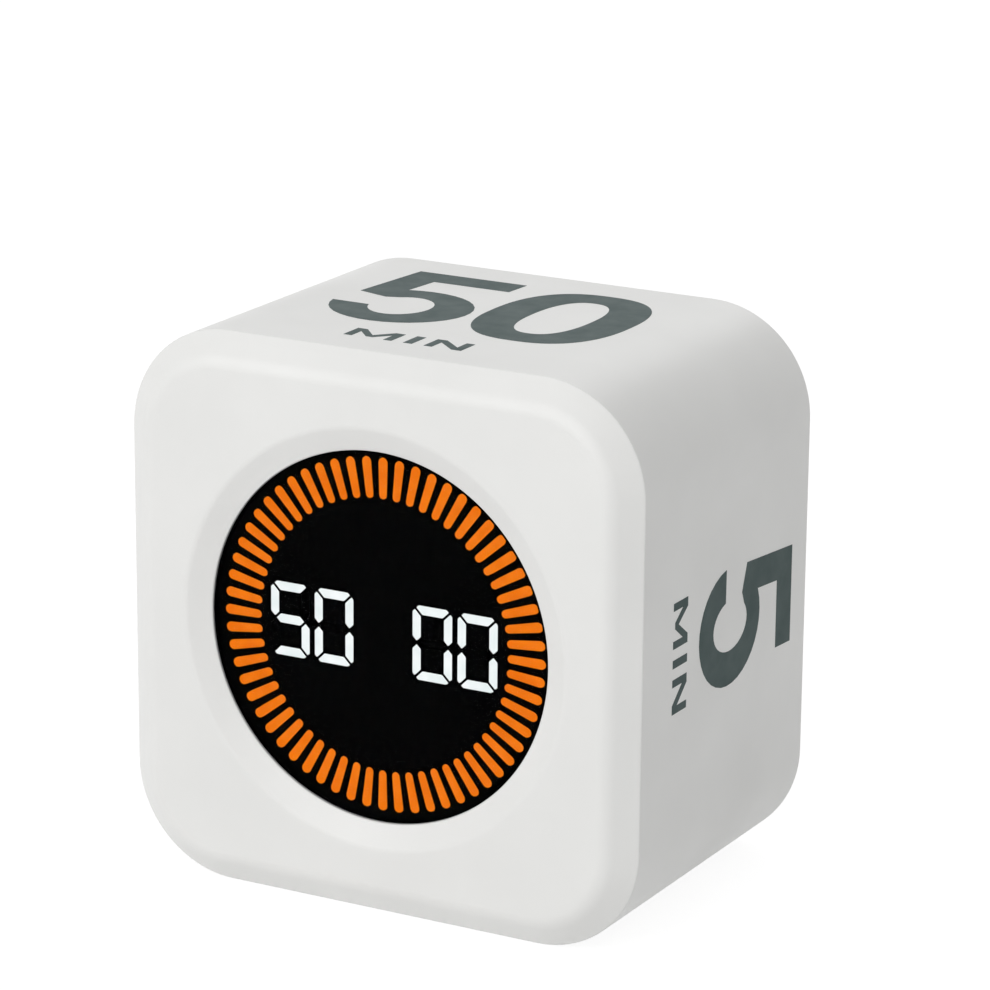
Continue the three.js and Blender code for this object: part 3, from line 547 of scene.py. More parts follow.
def ribbon_with_painted_highlight(name):
    """Ribbon cable: grey sleeves 1 mm apart side by side, each with a painted highlight, a lighter grey band.
    """
    material, tree, shader, place = patterned(name, {})
    sleeves = {"Vector": place, "Scale": WAVE_PERIOD / SLEEVE_PITCH}
    ribs = add(tree, "TexWave", sleeves, bands_direction="X").outputs["Fac"]
    # Painted highlight: the wave mixes the sleeve grey with a lighter grey along each sleeve, over the bump
    dress(tree, shader, ribs, WAVE_SPAN, ("#A9ADB1", "#CFD2D5"), (0.4, 0.5), (ribs, SLEEVE_RELIEF))
    return material


CASE_WHITE = moulded_abs("satin_white_abs", ("#ECECEA", "#E8E8E6"), (0.37, 0.45), 0.003 * MM)
CONTROL_GREY = moulded_abs("satin_slate_abs", ("#545C5F", "#4B5356"), (0.39, 0.47), 0.008 * MM)
SIDE_INK = pad_printed_ink("slate_pad_ink", ("#455554", "#3F4F4E"))
LENS = clear_acrylic("coated_acrylic")
FILM = black_film("black_display_film")
LIT_ORANGE = lit_diffuser("lit_orange_diffuser", "#F57B02", "#ED7100")
LIT_WHITE = lit_diffuser("lit_white_diffuser", "#FBFFFF", "#EEF6F6")
UNLIT = black_film("unlit_smoked_diffuser")
BOARD = circuit_board("green_circuit_board")
CHIP = moulded_compound("black_epoxy", ("#242527", "#17181A"), (0.54, 0.66), 0.15 * MM)
IVORY = moulded_compound("ivory_polyamide", ("#EBE3CF", "#DDD4BE"), (0.44, 0.56), 0.3 * MM)
REFLECTOR = moulded_compound("white_reflector_polycarbonate", ("#F4F4F0", "#EAEAE5"), (0.56, 0.68), 0.3 * MM)
STEEL = plated_steel("nickel_plated_steel", ("#C6C5C2", "#B3B2AF"), (0.22, 0.36))
FOIL = plated_steel("aluminium_laminate_foil", ("#C9CCCF", "#B8BBBE"), (0.32, 0.46))
FOAM = closed_cell_foam("closed_cell_foam")
RED_SLEEVE = moulded_compound("red_pvc_sleeve", ("#BC2420", "#A51B18"), (0.39, 0.51), 0.5 * MM)
BLACK_SLEEVE = moulded_compound("black_pvc_sleeve", ("#1B1C1E", "#121315"), (0.39, 0.51), 0.5 * MM)
RIBBON = ribbon_with_painted_highlight("grey_ribbon_cable")

SLOT_MATERIALS = {
    "case_white": CASE_WHITE,
    "smoked_acrylic": LENS,
    "mask_black": FILM,
    "lit_orange": LIT_ORANGE,
    "lit_white": LIT_WHITE,
    "reflector_white": REFLECTOR,
    "board_green": BOARD,
    "chip_black": CHIP,
    "control_grey": CONTROL_GREY,
    "socket_ivory": IVORY,
    "foam_black": FOAM,
    "lead_red": RED_SLEEVE,
    "lead_black": BLACK_SLEEVE,
    "cable_grey": RIBBON,
    "cell_foil": FOIL,
    "steel": STEEL,
}


def finish_node(node, slot_name):
    """A carried-over solid gets its slot's material on every one of its material slots."""
    mesh = frame["nodes"][node].data
    if not mesh.materials:
        mesh.materials.append(None)
    for k in range(len(mesh.materials)):
        mesh.materials[k] = SLOT_MATERIALS[slot_name]


def settle(piece, body="case", replaced=()):
    """A new piece rides on a body and stands for nodes that it replaces, which are hidden."""
    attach(piece, body)
    if replaced:
        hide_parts(*replaced)


# Case

def bezel_profile():
    """The bezel's section from the seam round its front, down the dish, round its collar and skirt and back:
    for each ring, an inset of the case's outline or a radius round the window, and a depth from the front."""
    slope = CHAMFER_DEPTH / CHAMFER_INSET
    fall = DISH_DEPTH / (DISH_RADIUS - WINDOW_RADIUS)
    seam_edge = rounded_corner(
        (EDGE_BREAK, CHAMFER_DEPTH),
        (0, CHAMFER_DEPTH),
        (EDGE_BREAK, CHAMFER_DEPTH - EDGE_BREAK * slope),
        SEAM_STEPS,
    )
    chamfer_edge = rounded_corner(
        (CHAMFER_INSET - CHAMFER_SOFTENING, CHAMFER_SOFTENING * slope),
        (CHAMFER_INSET, 0),
        (CHAMFER_INSET + CHAMFER_SOFTENING, 0),
        CHAMFER_STEPS,
    )
    dish_edge = rounded_corner(
        (DISH_RADIUS + DISH_LIP, 0),
        (DISH_RADIUS, 0),
        (DISH_RADIUS - DISH_LIP, DISH_LIP * fall),
        DISH_STEPS,
    )
    window_rim = rounded_corner(
        (WINDOW_RADIUS + RIM_ROUNDING, DISH_DEPTH - RIM_ROUNDING * fall),
        (WINDOW_RADIUS, DISH_DEPTH),
        (WINDOW_RADIUS, DISH_DEPTH + RIM_ROUNDING),
        RIM_STEPS,
    )
    rim_back = DISH_DEPTH + RIM_LAND
    pocket = lens_high[0] + SLIP_FIT
    collar_back = mask_high[1] - FRONT_Y
    skirt = WALL + SLIP_FIT
    skirt_back = CHAMFER_DEPTH + SKIRT_LENGTH
    return [
        *[("inset", inset, depth) for inset, depth in (*seam_edge, *chamfer_edge)],
        *[("radius", radius, depth) for radius, depth in (*dish_edge, *window_rim)],
        ("radius", WINDOW_RADIUS, rim_back),
        ("radius", pocket, rim_back),
        ("radius", pocket, collar_back),
        ("radius", pocket + POCKET_WALL, collar_back),
        ("radius", pocket + POCKET_WALL, CHAMFER_DEPTH),
        ("inset", skirt + SKIRT_THICKNESS, CHAMFER_DEPTH),
        ("inset", skirt + SKIRT_THICKNESS, skirt_back),
        ("inset", skirt, skirt_back),
        ("inset", skirt, CHAMFER_DEPTH),
    ]


def build_bezel():
    """The bezel's section carried round the case: each ring is an outline of the case or of the window."""
    rings = [
        lift(case_outline(size) if kind == "inset" else window_circle(size), FRONT_Y + depth)
        for kind, size, depth in bezel_profile()
    ]
    piece = make_piece("bezel_moulding", *ring_surface(rings, closed_on_itself=True), [CASE_WHITE])
    settle(piece, replaced=["front_bezel"])


def build_shell():
    """A section carried round the case: outer face, rounded rear edge, rim, rebate for the cover and inner
    face. Each point of it is an inset of the case's outline and a depth."""
    angle = np.linspace(0, np.pi / 2, REAR_STEPS + 1)
    rear_edge = [
        (REAR_ROUNDING * (1 - np.cos(a)), REAR_Y - REAR_ROUNDING * (1 - np.sin(a))) for a in angle
    ]
    rebate_edge = rounded_corner(
        (REBATE_WALL - EDGE_BREAK, REAR_Y),
        (REBATE_WALL, REAR_Y),
        (REBATE_WALL, REAR_Y - EDGE_BREAK),
        REBATE_STEPS,
    )
    shoulder = COVER_INNER_Y - SEAT_GAP
    section = [
        *rounded_corner((EDGE_BREAK, SEAM_Y), (0, SEAM_Y), (0, SEAM_Y + EDGE_BREAK), SEAM_STEPS),
        *rear_edge,
        *rebate_edge,
        (REBATE_WALL, shoulder),
        (WALL, shoulder),
        (WALL, SEAM_Y),
    ]
    rings = [lift(case_outline(inset), y) for inset, y in section]
    piece = make_piece("case_moulding", *ring_surface(rings, closed_on_itself=True), [CASE_WHITE])
    settle(piece, replaced=["body_shell"])


# Window and display

def build_lens():
    """A disc turned on a lathe: a step with a rounded edge that fills the rim, and a flange behind it. Its
    sides are printed black, so that no light of the display leaves there."""
    step, flange = WINDOW_RADIUS - SLIP_FIT, lens_high[0]
    front, back = lens_low[1], lens_high[1]
    shoulder = back - LENS_FLANGE
    section = [
        *rounded_corner((step - LENS_EDGE, front), (step, front), (step, front + LENS_EDGE), LENS_EDGE_STEPS),
        (step, shoulder),
        (flange, shoulder),
        (flange, back),
    ]
    side_faces = DISC_STEPS * (len(section) - 1)
    face_material = [1] * side_faces + [0, 0]
    piece = make_piece("window_disc", *lathe(section, DISC_STEPS, 0.0, 0.0), [LENS, FILM], face_material)
    settle(piece, replaced=["window_lens"])


def bar_outline(index, grow=0.0):
    """A tapered bar with round ends on the x axis, turned to its place: the first one points straight up."""
    half_turn = np.arange(BAR_END_STEPS + 1) / BAR_END_STEPS * np.pi
    ends = [
        (BAR_OUTER_RADIUS - BAR_OUTER_WIDTH / 2, BAR_OUTER_WIDTH / 2 + grow, -np.pi / 2),
        (BAR_INNER_RADIUS + BAR_INNER_WIDTH / 2, BAR_INNER_WIDTH / 2 + grow, np.pi / 2),
    ]
    loops = [
        np.stack([x + half * np.cos(start + half_turn), half * np.sin(start + half_turn)], axis=1)
        for x, half, start in ends
    ]
    return turned(np.concatenate(loops), np.pi / 2 - 2 * np.pi * index / BAR_COUNT)


def segment_outlines(x, shrink=0.0):
    """The seven segments a to g of a digit: mitred at the corners, with a six-sided one across the middle."""
    gap = SEGMENT_GAP + 2 * shrink
    right = DIGIT_WIDTH / 2 - shrink
    top = DIGIT_HEIGHT / 2 - shrink
    thick = SEGMENT_THICKNESS - 2 * shrink
    offset = gap / 2 / np.sqrt(2)
    apart = gap / np.sqrt(2)
    cut = SEGMENT_CUT
    across = np.array([
        (cut - right, top),
        (cut / 2 + offset - right, top - cut / 2 + offset),
        (thick + apart - right, top - thick),
        (right - thick - apart, top - thick),
        (right - cut / 2 - offset, top - cut / 2 + offset),
        (right - cut, top),
    ])
    upright = np.array([
        (right, top - cut),
        (right - cut / 2 + offset, top - cut / 2 - offset),
        (right - thick, top - thick - apart),
        (right - thick, thick / 2 + apart),
        (right - thick / 2, apart),
        (right, thick / 2 + apart),
    ])
    middle = np.array([
        (right - thick / 2 - apart, 0),
        (right - thick - apart, thick / 2),
        (thick + apart - right, thick / 2),
        (thick / 2 + apart - right, 0),
        (thick + apart - right, -thick / 2),
        (right - thick - apart, -thick / 2),
    ])
    flips = [
        (across, 1, 1),
        (upright, 1, 1),
        (upright, 1, -1),
        (across, 1, -1),
        (upright, -1, -1),
        (upright, -1, 1),
        (middle, 1, 1),
    ]
    return [(shape * (flip_x, flip_z))[:: flip_x * flip_z] + (x, 0.0) for shape, flip_x, flip_z in flips]


def digit_centres():
    """Where the four digits stand across the display: half a pitch each side of the middle of each pair."""
    return [pair * PAIR_DISTANCE / 2 + side * DIGIT_PITCH / 2 for pair in (-1, 1) for side in (-1, 1)]


def build_mask():
    """A disc with a window for every bar and segment."""
    low, high = mask_low[1], mask_high[1]
    windows = [bar_outline(k, GUIDE_FIT) for k in range(BAR_COUNT)]
    for x in digit_centres():
        windows += segment_outlines(x, -GUIDE_FIT)
    outer = [(circle(mask_high[0], DISC_STEPS), y) for y in (low, high)]
    points, faces = plate(outer, [[(window, low), (window, high)] for window in windows])
    piece = make_piece("display_film", points, faces, [FILM])
    settle(piece, replaced=["display_mask"])


def build_bars():
    """Sixty ribs that stand on one carrier ring behind the mask."""
    front, back = mask_low[1], guide_high[1]
    carrier = back - GUIDE_THICKNESS
    ring = plate(
        [(circle(guide_high[0], GUIDE_RING_STEPS), y) for y in (carrier, back)],
        [[(circle(GUIDE_RING_INNER, GUIDE_RING_STEPS), y) for y in (carrier, back)]],
    )
    bars = [plate([(bar_outline(k), y) for y in (front, carrier)]) for k in range(BAR_COUNT)]
    piece = make_piece("bar_ring", *joined([ring, *bars]), [LIT_ORANGE])
    settle(piece, replaced=["bar_light_guide"])


def build_digit(name, shown, x):
    """A digit's seven ribs on their plate: the ones that are on are lit, the others stay dark."""
    low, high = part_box(name + "_guide")
    carrier = high[1] - GUIDE_THICKNESS
    half = np.array([DIGIT_WIDTH + GUIDE_PLATE_MARGIN, DIGIT_HEIGHT + GUIDE_PLATE_MARGIN]) / 2
    corners = np.array([(-1, -1), (1, -1), (1, 1), (-1, 1)]) * half + (x, 0.0)
    parts = [plate([(corners, carrier), (corners, high[1])])]
    face_material = [1] * len(parts[0][1])
    for letter, outline in zip(SEGMENT_NAMES, segment_outlines(x)):
        parts.append(plate([(outline, low[1]), (outline, carrier)]))
        face_material += [0 if letter in LIT_SEGMENTS[shown] else 1] * len(parts[-1][1])
    piece = make_piece(name + "_segments", *joined(parts), [LIT_WHITE, UNLIT], face_material)
    settle(piece, replaced=[name + "_guide"])


# Printed numbers: each glyph is a list of loops, the outer one first, in shares of its width and height

def curve(centre, radii, start_deg, end_deg):
    """Part of an ellipse: centre plus each radius times the cosine and sine of the angle."""
    angle = np.radians(np.linspace(start_deg, end_deg, ARC_POINTS))
    return np.stack([centre[0] + radii[0] * np.cos(angle), centre[1] + radii[1] * np.sin(angle)], axis=1)


def oval(centre, radii, fullness):
    """A superellipse: each coordinate is a radius times the cosine or sine to the power 2 over fullness."""
    angle = np.arange(OVAL_STEPS) * 2 * np.pi / OVAL_STEPS
    c, s = np.cos(angle), np.sin(angle)
    power = 2 / fullness
    return np.stack([
        centre[0] + radii[0] * np.sign(c) * np.abs(c) ** power,
        centre[1] + radii[1] * np.sign(s) * np.abs(s) ** power,
    ], axis=1)


def glyph_five():
    """A flag and a leaning stem over an open bowl, which is an ellipse within an ellipse."""
    outer = curve((0.5, 0.324), (0.5, 0.324), 112, -172)
    inner = curve((0.492, 0.329), (0.216, 0.179), -163, 124)
    return [np.concatenate([
        [(0.108, 1.0), (0.94, 1.0), (0.925, 0.836), (0.343, 0.836)],
        outer,
        inner,
        [(0.271, 0.452), (0.038, 0.5)],
    ])[::-1]]


def glyph_zero():
    """One superellipse within another."""
    return [oval((0.5, 0.5), (0.5, 0.5), 2.5), oval((0.5, 0.5), (0.215, 0.34), 2.4)]


def glyph_one():
    """A stem with a flag that falls to its left."""
    return [np.array([(0.42, 0), (0.72, 0), (0.72, 1), (0.46, 1), (0.12, 0.83), (0.12, 0.66), (0.42, 0.79)])]


def glyph_two():
    """A hook over a slanting leg and a flat foot."""
    outer = curve((0.5, 0.69), (0.46, 0.31), 172, -28)
    inner = curve((0.49, 0.69), (0.18, 0.16), -18, 172)
    return [np.concatenate([
        outer,
        [(0.47, 0.165), (0.96, 0.165), (0.96, 0.0), (0.04, 0.0), (0.04, 0.13), (0.6, 0.56)],
        inner,
    ])[::-1]]


def glyph_m():
    """Two stems joined by a V that ends above their feet."""
    return [np.array([
        (0, 0), (0.17, 0), (0.17, 0.66), (0.43, 0.12), (0.57, 0.12), (0.83, 0.66), (0.83, 0),
        (1, 0), (1, 1), (0.8, 1), (0.5, 0.36), (0.2, 1), (0, 1),
    ])]


def glyph_i():
    """One stem."""
    return [np.array([(0, 0), (1, 0), (1, 1), (0, 1)])]


def glyph_n():
    """Two stems joined by a slanting bar."""
    return [np.array([
        (0, 0), (0.22, 0), (0.22, 0.68), (0.74, 0), (1, 0),
        (1, 1), (0.78, 1), (0.78, 0.33), (0.26, 1), (0, 1),
    ])]


GLYPHS = {
    "5": glyph_five,
    "0": glyph_zero,
    "1": glyph_one,
    "2": glyph_two,
    "M": glyph_m,
    "I": glyph_i,
    "N": glyph_n,
}

# The word for minutes: each letter with its left edge and its width, as shares of the word's width
WORD_LETTERS = [("M", 0.0, 0.41), ("I", 0.51, 0.075), ("N", 0.685, 0.315)]

# Every print, in mm: the outward normal of its side, each digit with its left, width, bottom and height,
# and the word's left, bottom, width and height. Left is measured along the reading direction from the
# middle of the side, and bottom is the distance behind the front plane.
PRINTS = {
    "print_50": ((0, 0, 1), [("5", -16.6, 16.2, 13.6, 22.6), ("0", 0.7, 16.7, 13.6, 22.6)],
                 (-7.5, 7.0, 14.2, 3.1)),
    "print_5": ((1, 0, 0), [("5", -7.2, 13.2, 15.2, 22.5)],
                (-6.7, 9.1, 12.2, 3.3)),
    "print_10": ((0, 0, -1), [("1", -15.6, 13.6, 13.6, 22.6), ("0", -0.8, 16.7, 13.6, 22.6)],
                 (-7.1, 7.0, 14.2, 3.1)),
    "print_25": ((-1, 0, 0), [("2", -16.9, 15.6, 13.6, 22.6), ("5", 0.6, 16.2, 13.6, 22.6)],
                 (-7.1, 7.0, 14.2, 3.1)),
}


def place_glyphs(digits, word):
    """Every glyph of a print as (letter, left, width, bottom, height) in metres."""
    glyphs = [(letter, *(size * MM for size in place)) for letter, *place in digits]
    left, bottom, width, height = (size * MM for size in word)
    letters = [(letter, left + x * width, share * width, bottom, height) for letter, x, share in WORD_LETTERS]
    return glyphs + letters


def build_print(name, normal, glyphs):
    """Ink on one side of the case: glyphs as thin plates, laid out along the reading direction and away from
    the front, sunk a little into the side and standing proud by the ink's thickness."""
    out = np.array(normal, dtype=float)
    up = np.array((0.0, 1.0, 0.0))
    right = np.cross(up, out)
    half = WIDTH / 2 if normal[0] else HEIGHT / 2
    origin = np.array((0.0, FRONT_Y, MIDDLE_Z)) + out * (half - INK_SINK)
    parts = []
    for letter, left, width, bottom, height in glyphs:
        loops = [loop * (width, height) + (left, bottom) for loop in GLYPHS[letter]()]
        rings = [[(loop, 0.0), (loop, INK_SINK + INK_THICKNESS)] for loop in loops]
        flat, faces = plate(rings[0], rings[1:])
        across, depth, along = flat[:, 0], flat[:, 1], flat[:, 2] - MIDDLE_Z
        parts.append((origin + across[:, None] * right + along[:, None] * up + depth[:, None] * out, faces))
    piece = make_piece(name, *joined(parts), [SIDE_INK])
    settle(piece)


# Rear cover and controls

def node_centre(node):
    """The middle of a node across the front: x, and z from the middle of the case."""
    low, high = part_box(node)
    return (low[0] + high[0]) / 2, (low[2] + high[2]) / 2 - MIDDLE_Z


def node_size(node):
    """A node's size across the front: along x and along z."""
    low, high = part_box(node)
    return high[0] - low[0], high[2] - low[2]


def plain_hole(shape):
    """A straight hole through the cover, with its outer edge rounded."""
    return wall_rings(shape, COVER_INNER_Y, COVER_Y, EDGE_BREAK, outwards=-1)


def stepped_hole(narrow, wide, floor):
    """A hole with a wider recess in the outer face: its narrow wall, the recess floor and the wide wall."""
    rings = [(narrow(0.0), COVER_INNER_Y), (narrow(0.0), floor)]
    return rings + wall_rings(wide, floor, COVER_Y, EDGE_BREAK, outwards=-1)


def screw_hole(k):
    """A round hole for a screw's shank, under a recess that takes its head."""
    x, z = node_centre(f"cover_screw_{k}")
    head = node_size(f"cover_screw_{k}")[0] / 2 + SLIP_FIT
    return stepped_hole(
        round_shape(SCREW_HOLE_RADIUS, SCREW_HOLE_STEPS, x, z),
        round_shape(head, SCREW_HOLE_STEPS, x, z),
        COVER_Y - SCREW_HEAD_HEIGHT - SEAT_GAP,
    )


def knob_slot():
    """A slot as long as the knob's stem and its travel, under a recess as long as the knob and its travel."""
    x, z = node_centre("power_switch_knob")
    across, up = node_size("power_switch_knob")
    travel = 2 * (SWITCH_TRAVEL + MOVE_FIT)
    return stepped_hole(
        box_shape(KNOB_STEM[0] + travel, KNOB_STEM[1] + 2 * MOVE_FIT, STEM_CORNER, x, z),
        box_shape(across + travel, up + 2 * MOVE_FIT, KNOB_CORNER + MOVE_FIT, x, z),
        COVER_Y - KNOB_POCKET_DEPTH,
    )


def port_opening():
    """An opening that fits round the socket, under a recess for the plug's moulding."""
    x, z = node_centre("usb_socket_shell")
    across, up = node_size("usb_socket_shell")
    margin = PLUG_RECESS_MARGIN
    return stepped_hole(
        box_shape(across + 2 * SLIP_FIT, up + 2 * SLIP_FIT, PORT_CORNER + SLIP_FIT, x, z),
        box_shape(across + 2 * margin, up + 2 * margin, PORT_CORNER + margin, x, z),
        COVER_Y - PLUG_RECESS_DEPTH,
    )


def button_hole(name):
    """A round hole in which a button's crown moves freely."""
    radius = node_size(name + "_cap")[0] / 2 - BUTTON_FLANGE + MOVE_FIT
    return plain_hole(round_shape(radius, BUTTON_STEPS, *node_centre(name + "_cap")))


def sound_holes():
    """One hole over the middle of the buzzer, and a circle of holes round it."""
    x, z = node_centre("buzzer")
    spots = [(x, z), *circle(SOUND_HOLE_CIRCLE, SOUND_HOLE_COUNT, x, z)]
    return [plain_hole(round_shape(SOUND_HOLE_RADIUS, SOUND_HOLE_STEPS, *spot)) for spot in spots]


def build_cover():
    """A plate that fits in the rebate, with both its edges rounded and all the rear openings in it."""
    holes = [
        *[screw_hole(k) for k in range(1, 5)],
        knob_slot(),
        port_opening(),
        button_hole("minute_button"),
        button_hole("second_button"),
        *sound_holes(),
    ]
    outer = wall_rings(
        lambda grow: case_outline(REBATE_WALL + SLIP_FIT - grow, side_steps=1),
        COVER_INNER_Y,
        COVER_Y,
        EDGE_BREAK,
        low_edge=EDGE_BREAK,
    )
    piece = make_piece("rear_plate", *plate(outer, holes), [CASE_WHITE])
    settle(piece, replaced=["rear_cover"])


def build_button(name):
    """A turned cap: stem, flange, a crown with a rounded shoulder and a shallow hollow for the fingertip,
    whose depth falls off as the square of one minus the squared share of its radius."""
    low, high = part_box(name + "_cap")
    x, z = node_centre(name + "_cap")
    flange = (high[0] - low[0]) / 2
    radius = flange - BUTTON_FLANGE
    rim = radius - BUTTON_SHOULDER
    inner = COVER_INNER_Y - SEAT_GAP
    top = high[1]
    angle = np.linspace(0, np.pi / 2, SHOULDER_STEPS + 1)
    section = [
        (BUTTON_STEM_RADIUS, low[1]),
        (BUTTON_STEM_RADIUS, inner - BUTTON_FLANGE_THICKNESS),
        (flange, inner - BUTTON_FLANGE_THICKNESS),
        (flange, inner),
        (radius, inner),
        *[(rim + BUTTON_SHOULDER * np.cos(a), top - BUTTON_SHOULDER * (1 - np.sin(a))) for a in angle],
        *[(rim * share, top - BUTTON_HOLLOW * (1 - share * share) ** 2) for share in HOLLOW_SHARES],
    ]
    piece = make_piece(name + "_crown", *lathe(section, BUTTON_STEPS, x, z), [CONTROL_GREY])
    settle(piece, body=name, replaced=[name + "_cap"])


def build_knob():
    """A thumb plate with rounded edges, three grip ribs and the stem that reaches to the switch."""
    low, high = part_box("power_switch_knob")
    x, z = node_centre("power_switch_knob")
    across, up = node_size("power_switch_knob")
    base = COVER_Y - KNOB_POCKET_DEPTH + SEAT_GAP
    top = base + KNOB_THICKNESS
    body = plate(wall_rings(box_shape(across, up, KNOB_CORNER, x, z), base, top, KNOB_EDGE))
    stem = plate(wall_rings(box_shape(*KNOB_STEM, STEM_CORNER, x, z), low[1], base, 0.0))
    ribs = []
    for k in range(RIB_COUNT):
        rib_x = x + (k - (RIB_COUNT - 1) / 2) * RIB_PITCH
        shape = box_shape(RIB_WIDTH, up - KNOB_CORNER, RIB_CORNER, rib_x, z)
        ribs.append(plate(wall_rings(shape, top, high[1], RIB_EDGE)))
    piece = make_piece("power_thumb_slide", *joined([body, stem, *ribs]), [CONTROL_GREY])
    settle(piece, body="power_slider", replaced=["power_switch_knob"])


def build_port():
    """The socket's drawn steel shell: an outer wall and a bore, with a rounded mouth."""
    low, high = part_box("usb_socket_shell")
    x, z = node_centre("usb_socket_shell")
    across, up = node_size("usb_socket_shell")
    case = box_shape(across, up, PORT_CORNER, x, z)
    bore = box_shape(across - 2 * PORT_WALL, up - 2 * PORT_WALL, PORT_CORNER - PORT_WALL, x, z)
    outer = wall_rings(case, low[1], high[1], PORT_EDGE)
    inner = wall_rings(bore, low[1], high[1], PORT_EDGE, outwards=-1)
    piece = make_piece("port_shell", *plate(outer, [inner]), [STEEL])
    settle(piece, replaced=["usb_socket_shell"])


def build_screw(k):
    """A pan head with a cross recess: on a grid of radius and angle, the depth falls where the point is
    within half the cross's width of either arm, and the head's edge is rounded."""
    low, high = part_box(f"cover_screw_{k}")
    x, z = node_centre(f"cover_screw_{k}")
    radius = (high[0] - low[0]) / 2
    head = high[1] - SCREW_HEAD_HEIGHT
    angle = np.arange(SCREW_STEPS) * 2 * np.pi / SCREW_STEPS
    rings = [
        lift(circle(SCREW_SHANK_RADIUS, SCREW_STEPS, x, z), low[1]),
        lift(circle(SCREW_SHANK_RADIUS, SCREW_STEPS, x, z), head),
        lift(circle(radius, SCREW_STEPS, x, z), head),
    ]
    for share in HEAD_SHARES:
        r = radius * share
        px, pz = r * np.cos(angle), r * np.sin(angle)
        arm_x = np.maximum(np.abs(pz) - CROSS_WIDTH / 2, np.abs(px) - CROSS_LENGTH / 2)
        arm_z = np.maximum(np.abs(px) - CROSS_WIDTH / 2, np.abs(pz) - CROSS_LENGTH / 2)
        outside = np.clip(np.minimum(arm_x, arm_z) / CROSS_EDGE, 0, 1)
        crown = high[1] - SCREW_CROWN * share ** CROWN_POWER
        depth = crown - CROSS_DEPTH * (1 - outside) * (1 - CROSS_TAPER * share)
        rings.append(np.stack([x + px, depth, z + pz + MIDDLE_Z], axis=1))
    piece = make_piece(f"cover_screw_{k}_turned", *ring_surface(rings), [STEEL])
    settle(piece, replaced=[f"cover_screw_{k}"])


for entry in frame["record"]["subparts"]:
    finish_node(entry["node"], entry["material_slot"])

build_bezel()
build_shell()
build_lens()
build_mask()
build_bars()
for (digit_name, digit), digit_x in zip(SHOWN.items(), digit_centres()):
    build_digit(digit_name, digit, digit_x)
for print_name, (side_normal, side_digits, side_word) in PRINTS.items():
    build_print(print_name, side_normal, place_glyphs(side_digits, side_word))
build_cover()
build_button("minute_button")
build_button("second_button")
build_knob()
build_port()
for screw_number in range(1, 5):
    build_screw(screw_number)


# Camera, by the photograph's viewing angle

IMAGE_SIDE = 990
VIEW_AZIMUTH_DEG = 29.18
VIEW_ELEVATION_DEG = 17.31
VIEW_ROLL_DEG = 0.39
VIEW_DISTANCE = 486.6 * MM
FOCAL_PIXELS = 4448.9
CENTRE_PIXEL = (468.5, 591.3)
SENSOR_MM = 36.0
CLIP_START = 10 * MM


def build_camera():
    """A pinhole camera that looks at the case's middle from an azimuth, an elevation and a distance, is
    rolled about its own axis, and is shifted so that the middle falls on the photograph's pixel."""
    az, el, roll = np.radians([VIEW_AZIMUTH_DEG, VIEW_ELEVATION_DEG, VIEW_ROLL_DEG])
    back = np.array([np.sin(az) * np.cos(el), -np.cos(az) * np.cos(el), np.sin(el)])
    right = np.array([np.cos(az), np.sin(az), 0.0])
    up = np.cross(back, right)
    right, up = np.cos(roll) * right + np.sin(roll) * up, np.cos(roll) * up - np.sin(roll) * right
    place = np.array(CASE_MIDDLE) + back * VIEW_DISTANCE
    data = bpy.data.cameras.new("view")
    data.sensor_width = SENSOR_MM
    data.lens = FOCAL_PIXELS * SENSOR_MM / IMAGE_SIDE
    data.shift_x = (IMAGE_SIDE / 2 - CENTRE_PIXEL[0]) / IMAGE_SIDE
    data.shift_y = (CENTRE_PIXEL[1] - IMAGE_SIDE / 2) / IMAGE_SIDE
    data.clip_start = CLIP_START
    turn = np.eye(4)
    turn[:3, 0], turn[:3, 1], turn[:3, 2], turn[:3, 3] = right, up, back, place
    camera = add_object("view", data)
    camera.matrix_world = Matrix(turn.tolist())
    bpy.context.scene.camera = camera


# Floor, world and lamps

WHITE = (1.0, 1.0, 1.0, 1.0)
FLOOR_SIDE = 6.0
FLOOR_DROP = 0.03 * MM
FLOOR_ROUGHNESS = 0.9
FLOOR_GLOW = 1.2
FLOOR_GLOW_SHARE = 0.75
WORLD_LEVEL = 0.48
KEY_POWER = 37.0
KEY_SIZE = 2.6
KEY_PLACE = (-0.56, -2.26, 1.26)
BACK_POWER = 7.5
BACK_SIZE = 1.6
BACK_PLACE = (-0.4, 1.6, 1.7)


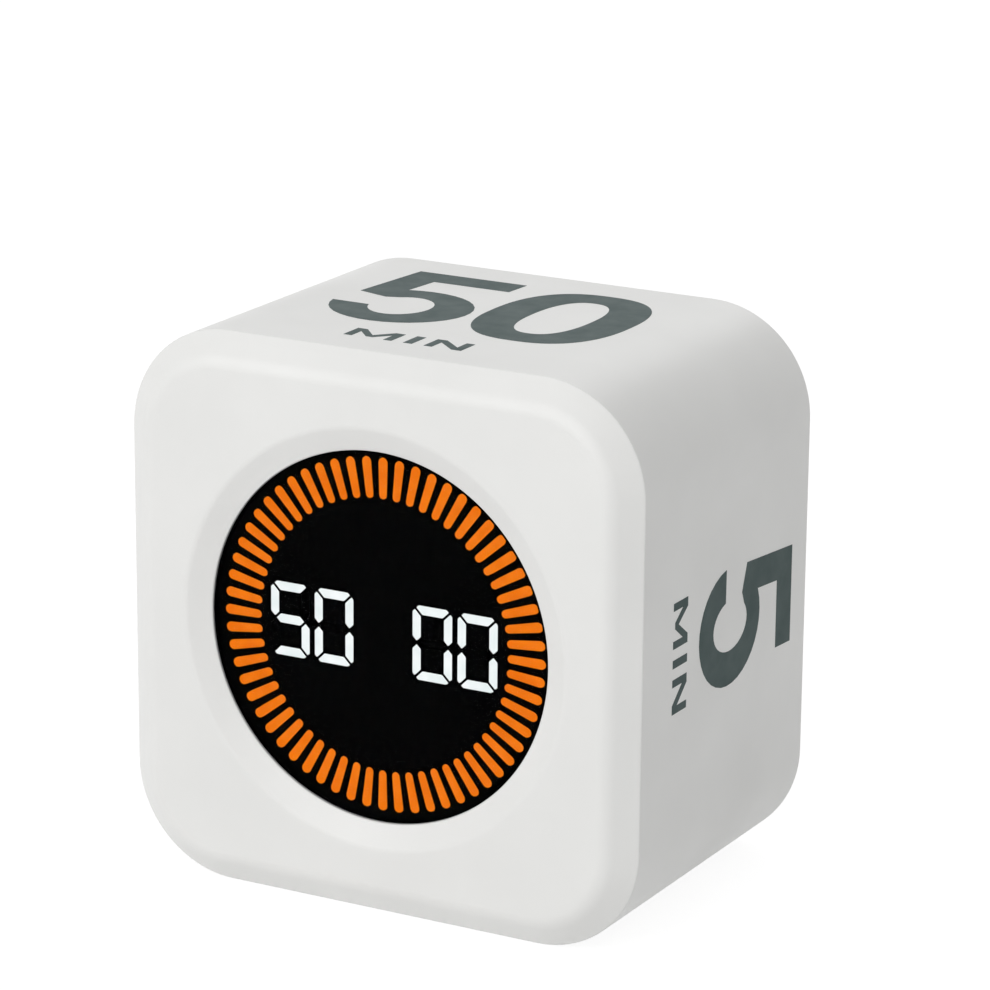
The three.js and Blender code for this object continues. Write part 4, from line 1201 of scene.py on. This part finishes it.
def seen_directly(tree):
    """One where the eye sees a place itself, in a reflection or through glass, and zero for scattered
    light."""
    path = add(tree, "LightPath").outputs
    seen = path["Is Camera Ray"]
    for way in ("Is Glossy Ray", "Is Transmission Ray"):
        seen = add(tree, "Math", {0: seen, 1: path[way]}, operation="MAXIMUM").outputs[0]
    return seen


def build_floor():
    """A flat pale square just under the case, which looks white to the eye and keeps the case's shadow."""
    half = FLOOR_SIDE / 2
    corners = [(-half, -half), (half, -half), (half, half), (-half, half)]
    mesh = bpy.data.meshes.new("floor")
    mesh.from_pydata([(x, y, -FLOOR_DROP) for x, y in corners], [], [(0, 1, 2, 3)])
    material, tree, shader = principled("pale_floor", {
        "Base Color": linear("#ECECEC"), "Roughness": FLOOR_ROUGHNESS, "Specular IOR Level": 0.0,
    })
    glow = add(tree, "Emission", {"Color": WHITE, "Strength": FLOOR_GLOW}).outputs[0]
    share = add(tree, "Math", {0: seen_directly(tree), 1: FLOOR_GLOW_SHARE}, operation="MULTIPLY").outputs[0]
    mixed = add(tree, "MixShader", {0: share, 1: shader.outputs[0], 2: glow}).outputs[0]
    tree.links.new(mixed, find_node(tree, "OUTPUT_MATERIAL").inputs["Surface"])
    mesh.materials.append(material)
    add_object("floor", mesh)


def build_world():
    """An even white surround: it lights the timer at a plain level, and looks full white to the eye."""
    world = bpy.data.worlds.new("studio")
    bpy.context.scene.world = world
    world.use_nodes = True
    tree = world.node_tree
    background = find_node(tree, "BACKGROUND")
    background.inputs["Color"].default_value = WHITE
    levels = {RANGE_VALUE: seen_directly(tree), RANGE_TO_LOW: WORLD_LEVEL, RANGE_TO_HIGH: 1.0}
    tree.links.new(add(tree, "MapRange", levels).outputs[0], background.inputs["Strength"])


def build_lamp(name, place, power, size):
    """A round soft lamp that faces the middle of the case."""
    data = bpy.data.lights.new(name, "AREA")
    data.energy = power
    data.shape = "DISK"
    data.size = size
    lamp = add_object(name, data)
    lamp.location = place
    lamp.rotation_euler = (Vector(CASE_MIDDLE) - Vector(place)).to_track_quat("-Z", "Y").to_euler()


build_camera()
build_floor()
build_world()
build_lamp("key", KEY_PLACE, KEY_POWER, KEY_SIZE)
build_lamp("back", BACK_PLACE, BACK_POWER, BACK_SIZE)
bpy.context.scene.view_settings.view_transform = "Standard"
